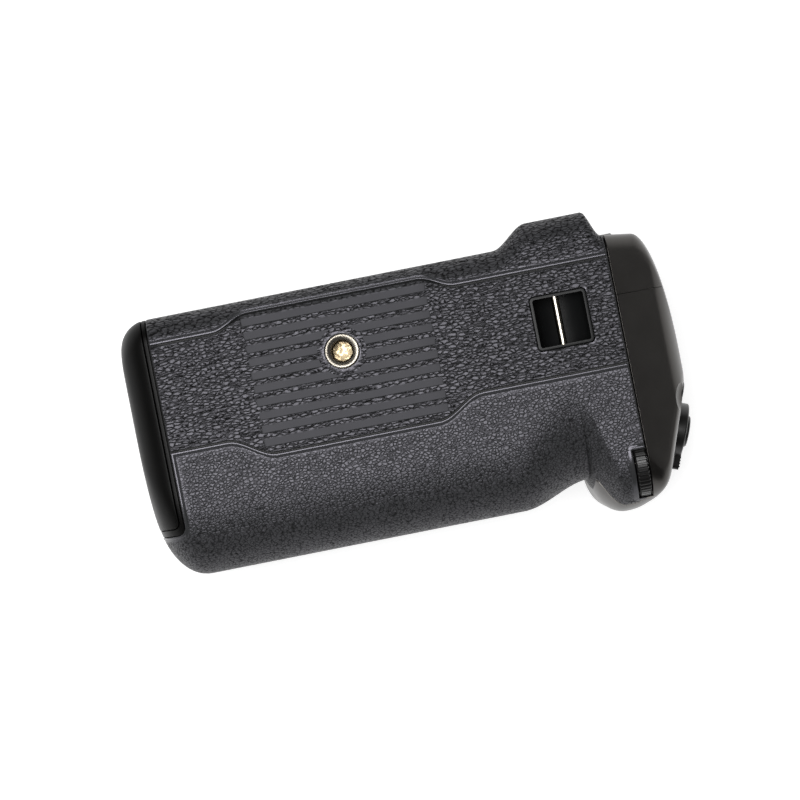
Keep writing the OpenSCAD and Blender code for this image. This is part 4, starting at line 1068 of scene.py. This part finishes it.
def battery_door():
    end = cap_seam - seam
    outline = [(-far, -cap_front)] + arc((end - cap_round, -cap_front + cap_round), cap_round, -90, 0, 9)
    outline += [(end, far), (-far, far)]
    door = shared(form(0.0, None, end, 0.3), prism(outline, -cap_depth, far))
    hollow = block((3.4 - tray_end, 0), (-29.5, 5.5), (-33.6, -12.4))
    for y in (-26.0, 2.0):
        screw_line = Matrix.Translation((-60, y, -30)) @ Matrix.Rotation(math.pi / 2, 4, "Y")
        carve(hollow, rod(screw_line, 2.4, 0, 40))
    carve(door, hollow)
    recess = soft_box(4.5, 9.5, 1.6)
    points = [[(x, y - 4.0, z + tray_mid[1]) for z, y in recess] for x in (-70.0, 1.8 - tray_end)]
    carve(door, loft("tool", points))
    carve(door, block((-far, latch_x), (-8.4, 0.4), (-24.9, -21.1)))
    settle(door, "battery_door", "tray", cap_black, "shell_black", "tray_cap")


def end_cover(y):
    """Hollow moulding of the control end between two values of y."""
    cover = shared(form(0.0, skin_end + seam, None, end_lip), block((0, far), y, (-far, far)))
    return carve(cover, form(cover_t, skin_end - 3, None))


def control_cover():
    cover = end_cover((-far, end_split - split_gap / 2))
    edge = [(x, nose_line(x) - seam / 2) for x in np.linspace(nose_foot + seam / 2, nose_full, 72)]
    low, right = -far, skin_end + seam + 1
    outline = edge + [(right, -nose_skin - seam / 2), (right, low), (nose_foot + seam / 2, low)]
    trim = shared(form(0.0, nose_foot + seam / 2, right), side_prism(outline, -far, -25))
    carve(trim, form(skin_t, nose_foot - 3, right + 3))
    joined(cover, trim)
    carve(cover, rod(platform(), 7.6, -3, 8, 96), rod(platform(*function_at), 3.3, -3, 8))
    hollow_r = 7
    half_turn = np.linspace(0, math.pi, 40)
    ball = [(hollow_r * math.sin(a), hollow_r * math.cos(a)) for a in half_turn]
    hollow = turned("tool", ball, sides=72)
    lean = platform(*function_at) @ Matrix.Translation((-8, 0, 4.6))
    carve(cover, placed(hollow, lean))
    carve(cover, front_dial_space(), plate_space(seam, -far, plate_top + 1))
    settle(cover, "control_cover", "housing", control_black, "control_black", "control_end_cover")


def rear_panel():
    cover = end_cover((end_split + split_gap / 2, far))
    right = skin_end + seam + 1
    plate = shared(
        form(0.0, panel_x + seam / 2, right),
        block((panel_x + seam / 2, right), (8, far), (-far, -panel_depth - seam / 2)),
    )
    carve(plate, form(skin_t, panel_x - 3, right + 3))
    behind_seam = block((0, far), (end_split - 1.5, 3), (-far, far))
    lap = shared(form(cover_t + 0.1, skin_end + 1.6, None), behind_seam)
    carve(lap, form(cover_t + 0.9, skin_end - 3, None))
    joined(lap, shared(form(cover_t - 0.2, skin_end + 1.6, None), block((0, far), (1, 3), (-far, far))))
    carve(lap, form(cover_t + 0.9, skin_end - 3, None))
    joined(cover, plate, lap)
    carve(cover, *rear_holes(), rear_dial_space(), plate_space(seam, -far, plate_top + 1))
    settle(cover, "rear_panel", "housing", control_black, "control_black", "rear_control_panel")


# Fittings


def tripod_thread():
    profile = [(4.3, -8.0), (4.3, -6.4), (6.5, -6.4), (6.5, -4.95), (4.3, -4.95)]
    profile += [(4.1 + c, -0.2 + s) for c, s in arc((0, 0), 0.2, 0, 90, 5)]
    profile += [(3.95, 0.0), (3.1, -0.25), (3.0, -0.32)]
    pitch, depth = 1.27, 0.35
    for k in range(5):
        top = -0.35 - k * pitch
        profile += [(3.0, top), (3.0 - depth, top - 0.5), (3.0 - depth, top - 0.66), (3.0, top - 1.16)]
    profile += [(2.9, -6.8), (2.5, -5.7), (0, -6.2)]
    piece = turned("socket", [(0, -8.0)] + profile, sides=96)
    settle(piece, "tripod_thread", "housing", socket_steel, "bright_steel", "tripod_socket", sharp=25)


def strap_well():
    x0, y0 = pocket_at
    wall = [(7.3, 7.0, -9.3), (7.3, 7.0, -0.25), (7.2, 6.9, -0.1), (7.05, 6.75, -0.05), (6.6, 6.3, -0.05)]
    rings = [[(x + x0, y + y0, z) for x, y in soft_box(hx, hy, 1.1, 9)] for hx, hy, z in wall]
    well = loft("well", rings)
    mouth = [(x + x0, y + y0) for x, y in soft_box(6.5, 6.2, 0.6, 7)]
    across = Matrix.Translation((x0, y0, -2.0)) @ Matrix.Rotation(-math.pi / 2, 4, "X")
    carve(well, joined(prism(mouth, -2.0, 5.0), rod(across, 6.5, -6.2, 6.2, 96)))
    settle(well, "strap_well", "housing", pocket_black, "shell_black", "strap_pocket", sharp=40)


def strap_bar():
    along_y = Matrix.Rotation(-math.pi / 2, 4, "X")
    place = Matrix.Translation((strap_pin_at[0], -10.0, strap_pin_at[1])) @ along_y
    profile = [(0, 0), (0.8, 0), (1.0, 0.2), (1.0, 13.8), (0.8, 14.0), (0, 14.0)]
    settle(turned("bar", profile, place), "strap_bar", "housing", pin_steel, "pin_steel", "strap_pin")


def knurled_wheel(name, radius, thick, bore, count, tooth):
    """Wheel round the Z axis with a turned core and knurls, its middle at the origin."""
    half, depth = thick / 2, tooth[0]
    core_r = radius - depth
    profile = [(bore, -half), (core_r - 0.5, -half), (core_r, -half + 0.4), (core_r, half - 0.4)]
    profile += [(core_r - 0.5, half), (bore, half)]
    wheel = turned(name, profile, sides=96)
    wide, narrow = tooth[1] / 2, tooth[2] / 2
    root, shoulder = -depth - 0.3, -depth * 0.35
    outline = [(root, -wide), (shoulder, -wide), (0, -narrow)]
    outline += [(0, narrow), (shoulder, wide), (root, wide)]
    steps = ((half - 0.05, 0.55), (half - 0.35, 0.0))
    rings = []
    for z, low in [(-h, c) for h, c in steps] + [(h, c) for h, c in reversed(steps)]:
        rings.append([(max(x - low * depth, root), y, z) for x, y in outline])
    values = {"Count": count, "Radius": radius, "Material": key_black}
    teeth = repeated("teeth", ring_of, loft("tooth", rings), **values)
    return joined(wheel, teeth)


def control_dials():
    for name, at, span, body, node in (
        ("front_command_dial", front_dial_at, front_dial_span, "front_wheel", "front_dial"),
        ("rear_command_dial", rear_dial_at, (-dial_t / 2, dial_t / 2), "rear_wheel", "rear_dial"),
    ):
        dial = knurled_wheel("dial", dial_r, span[1] - span[0], 1.05, 46, (0.8, 0.5, 0.3))
        placed(dial, on_axle(at) @ Matrix.Translation((0, 0, (span[0] + span[1]) / 2)))
        settle(dial, name, body, key_black, "key_black", node, sharp=25)
    middle = (wheel_z[0] + wheel_z[1]) / 2
    wheel = knurled_wheel("wheel", wheel_r, wheel_z[1] - wheel_z[0], 3.2, 72, (0.6, 1.0, 0.6))
    placed(wheel, Matrix.Translation((0, 0, middle)))
    settle(wheel, "camera_screw_wheel", "attachment", key_black, "key_black", "attachment_wheel", sharp=25)


def dished_top(radius, top, rounding, dish):
    """Profile of a key's crown: a round edge and a dish, or a dome where dish is negative."""
    rim = radius - rounding
    points = [(rim + c, top - rounding + s) for c, s in arc((0, 0), rounding, 0, 90, 6)]
    return points + [(rim * t, top - dish * (1 - t * t)) for t in (0.85, 0.65, 0.45, 0.2, 0.0)]


def shutter_group():
    crown = dished_top(4.1, lever_rise + 1, 0.5, 0.35)
    profile = [(0, -5.6), (1.2, -5.6), (1.2, -4.6), (5.0, -4.6), (5.0, -3.8), (4.1, -3.8)] + crown
    button = turned("key", profile, platform(), 96)
    settle(button, "release_button", "shutter", key_black, "key_black", "shutter_button")
    profile = [(4.5, -3.4), (8.4, -3.4), (8.4, -2.4), (5.2, -2.4)]
    profile += [(r, lever_rise + z) for r, z in ((5.2, -0.6), (5.0, -0.4), (4.7, -0.4), (4.5, -0.6))]
    collar = turned("ring", profile, platform(), 96)
    settle(collar, "release_collar", "housing", bracket_steel, "control_black", "shutter_collar")
    profile = [(5.25, -2.1), (7.0, -2.1), (7.2, -1.9)]
    profile += [(6.7 + c, lever_rise - 0.5 + s) for c, s in arc((0, 0), 0.5, 0, 90, 5)]
    profile += [(5.5, lever_rise), (5.25, lever_rise - 0.25)]
    lever = turned("lever", profile, sides=96)
    outline = [(3.4, -5.6), (-3.4, -5.6)]
    outline += arc((-1.4, -9.3), 1.0, 180, 270, 5) + arc((0.2, -9.3), 1.0, 270, 360, 5)
    tab = prism(outline, lever_rise - 1.6, lever_rise)
    joined(lever, tidy_normals(tab))
    ridge = soft_slab("ridge", 1.3, 0.22, (lever_rise - 0.3, lever_rise + 0.3), 0.15, 0.15)
    values = {"Count": 4, "Start": (-0.5, -9.4, 0), "Step": (0.1, 0.8, 0), "Material": key_black}
    joined(lever, repeated("ridges", row_of, ridge, **values))
    settle(placed(lever, platform()), "lock_lever_ring", "lever", key_black, "key_black", "lock_lever")
    crown = dished_top(2.9, 0.0, 0.4, -0.15)
    profile = [(0, -6.3), (1.0, -6.3), (1.0, -3.4), (3.7, -3.4), (3.7, -2.9), (2.9, -2.9)] + crown
    key = turned("key", profile, platform(*function_at))
    settle(key, "function_key_cap", "function_key", key_black, "key_black", "function_button")


def rear_keys():
    for node, (x, rise, radius) in rear_key_at.items():
        crown = dished_top(radius, 1.0, 0.45, -0.12)
        flange, stem = radius + 0.9, -4.45
        profile = [(0, stem), (1.0, stem), (1.0, -4.3), (flange, -4.3), (flange, -3.6), (radius, -3.6)]
        key = turned("key", profile + crown, on_rear(x, rise), 96)
        settle(key, node + "_cap", node.replace("button", "key"), key_black, "key_black", node)
    profile = [(0, -5.3), (1.1, -5.3), (1.1, -0.5), (3.1, -0.5), (3.4, -0.2)] + dished_top(3.4, 1.5, 0.5, 0.3)
    stick = turned("stick", profile, sides=96)
    dot = turned("dot", [(0, -0.3), (0.34, -0.3), (0.32, 0.05), (0.2, 0.16), (0, 0.18)], sides=12)
    for count, radius, level in ((12, 2.35, 1.4), (6, 1.2, 1.26)):
        values = {"Count": count, "Radius": radius, "Material": key_black}
        pip = dot.copy()
        pip.data = dot.data.copy()
        scene.collection.objects.link(pip)
        dots = repeated("dots", ring_of, pip, **values)
        joined(stick, placed(dots, Matrix.Translation((0, 0, level))))
    bpy.data.objects.remove(dot)
    axle = rod(Matrix.Translation((0, 0, -4.6)) @ Matrix.Rotation(math.pi / 2, 4, "X"), 0.45, -2.6, 2.6, 32)
    joined(stick, axle)
    placed(stick, on_rear(*stick_at))
    settle(stick, "focus_stick_cap", "stick", key_black, "key_black", "focus_stick")


def door_latch():
    turn = Matrix.Translation((0, -6.0, tray_mid[1])) @ Matrix.Rotation(-math.pi / 2, 4, "Y")
    plate = soft_slab("plate", 4.0, 7.0, (tray_end - 1.4, tray_end - 0.5), 1.2, 0.3, turn)
    ridge = soft_slab("ridge", 3.4, 0.5, (tray_end - 0.8, tray_end - 0.1), 0.3, 0.25, turn)
    values = {"Count": 5, "Start": (0, -3.5, 0), "Step": (0, 2.0, 0), "Material": key_black}
    joined(plate, repeated("ridges", row_of, ridge, **values))
    joined(plate, block((1.6 - tray_end, latch_x), (-8.0, -4.0), (-24.5, -21.5)))
    joined(plate, block((latch_x - 0.5, latch_x + 0.5), (-8.0, 8.3), (-24.5, -21.5)))
    settle(plate, "door_latch", "latch", key_black, "key_black", "tray_latch")


base_panel()
base_ribs()
front_grip_skin()
rear_grip_skin()
handle_shell()
tray_end_frame()
battery_door()
control_cover()
rear_panel()
tripod_thread()
strap_well()
strap_bar()
control_dials()
shutter_group()
rear_keys()
door_latch()

finishes = {
    seal_rubber: ("tray_seal",),
    shell_black: ("camera_plate", "contact_block", "connector_block"),
    screw_steel: ("plate_screws", "bracket_screws", "board_screws", "cap_screws"),
    bracket_steel: ("socket_bracket", "front_dial_bracket", "rear_dial_bracket", "stick_gimbal"),
    pin_steel: ("locating_pins", "front_dial_pin", "rear_dial_pin", "attachment_screw"),
    sleeve_grey: ("battery_sleeve",),
    tray_grey: ("battery_tray",),
    battery_case: ("inner_battery", "outer_battery"),
    contact_gold: ("contact_springs", "connector_pins", "tray_contacts", "battery_terminals"),
    board_green: ("main_board", "control_board", "rear_board"),
    switch_white: ("control_switches", "rear_switches", "stick_holder"),
    cable_amber: ("flex_cable",),
}
for material, names in finishes.items():
    for name in names:
        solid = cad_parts[name]
        solid.data.materials.clear()
        solid.data.materials.append(material)


# Stage, light and camera


def studio():
    """White paper that turns up into a backdrop, soft light and the camera, in metres."""
    floor_z, reach, backdrop = -0.051, 3.0, 0.8
    sheet = turned("floor_paper", [(0, floor_z), (reach, floor_z), (reach, backdrop)])
    paper = Finish("white_paper")
    path = add_node(paper.tree, "ShaderNodeLightPath")
    rays = [Wire(paper.tree, path.outputs[f"Is {kind} Ray"]) for kind in ("Camera", "Glossy", "Transmission")]
    seen = rays[0] + rays[1] + rays[2]
    matt = paper.node("ShaderNodeBsdfDiffuse", {}, {"Color": grey(0.55)})
    away = paper.vector("LENGTH", paper.place(), output="Value")
    white = paper.blend(paper.between(away, 0.3, 0.9), grey(0.76), grey(1.0))
    glow = paper.node("ShaderNodeEmission", {}, {"Color": white, "Strength": 1.0})
    lit = paper.node("ShaderNodeAddShader", {}, {0: matt, 1: glow})
    paper.output(paper.node("ShaderNodeMixShader", {}, {0: seen, 1: matt, 2: lit}))
    sheet.data.materials.append(paper.material)

    air = bpy.data.worlds.new("studio_air")
    air.use_nodes = True
    air.node_tree.nodes.clear()
    dim = add_node(air.node_tree, "ShaderNodeBackground", {}, {"Color": grey(1.0), "Strength": 0.05})
    add_node(air.node_tree, "ShaderNodeOutputWorld", {}, {"Surface": Wire(air.node_tree, dim.outputs[0])})
    scene.world = air

    lamps = (
        ("key_panel", (-0.05, 0.1, 0.94), 0.5, 7.5),
        ("side_panel", (-0.32, -0.06, 0.88), 0.4, 2.0),
    )
    for name, spot, width, power in lamps:
        lamp = bpy.data.lights.new(name, "AREA")
        lamp.shape = "SQUARE"
        lamp.size = width
        lamp.energy = power
        stand = bpy.data.objects.new(name, lamp)
        stand.location = spot
        stand.rotation_euler = (-Vector(spot)).to_track_quat("-Z", "Y").to_euler()
        scene.collection.objects.link(stand)

    lens = bpy.data.cameras.new("viewfinder")
    distance, field = 0.7, 0.202
    lens.sensor_width = 36.0
    lens.lens = lens.sensor_width * distance / field
    lens.clip_start = 0.01
    lens.clip_end = 20.0
    stand = bpy.data.objects.new("viewfinder", lens)
    stand.location = (0.01197, -0.01498, distance)
    stand.rotation_euler = (0.0, 0.0, math.radians(-11.19))
    scene.collection.objects.link(stand)
    scene.camera = stand
    scene.view_settings.view_transform = "Standard"


studio()
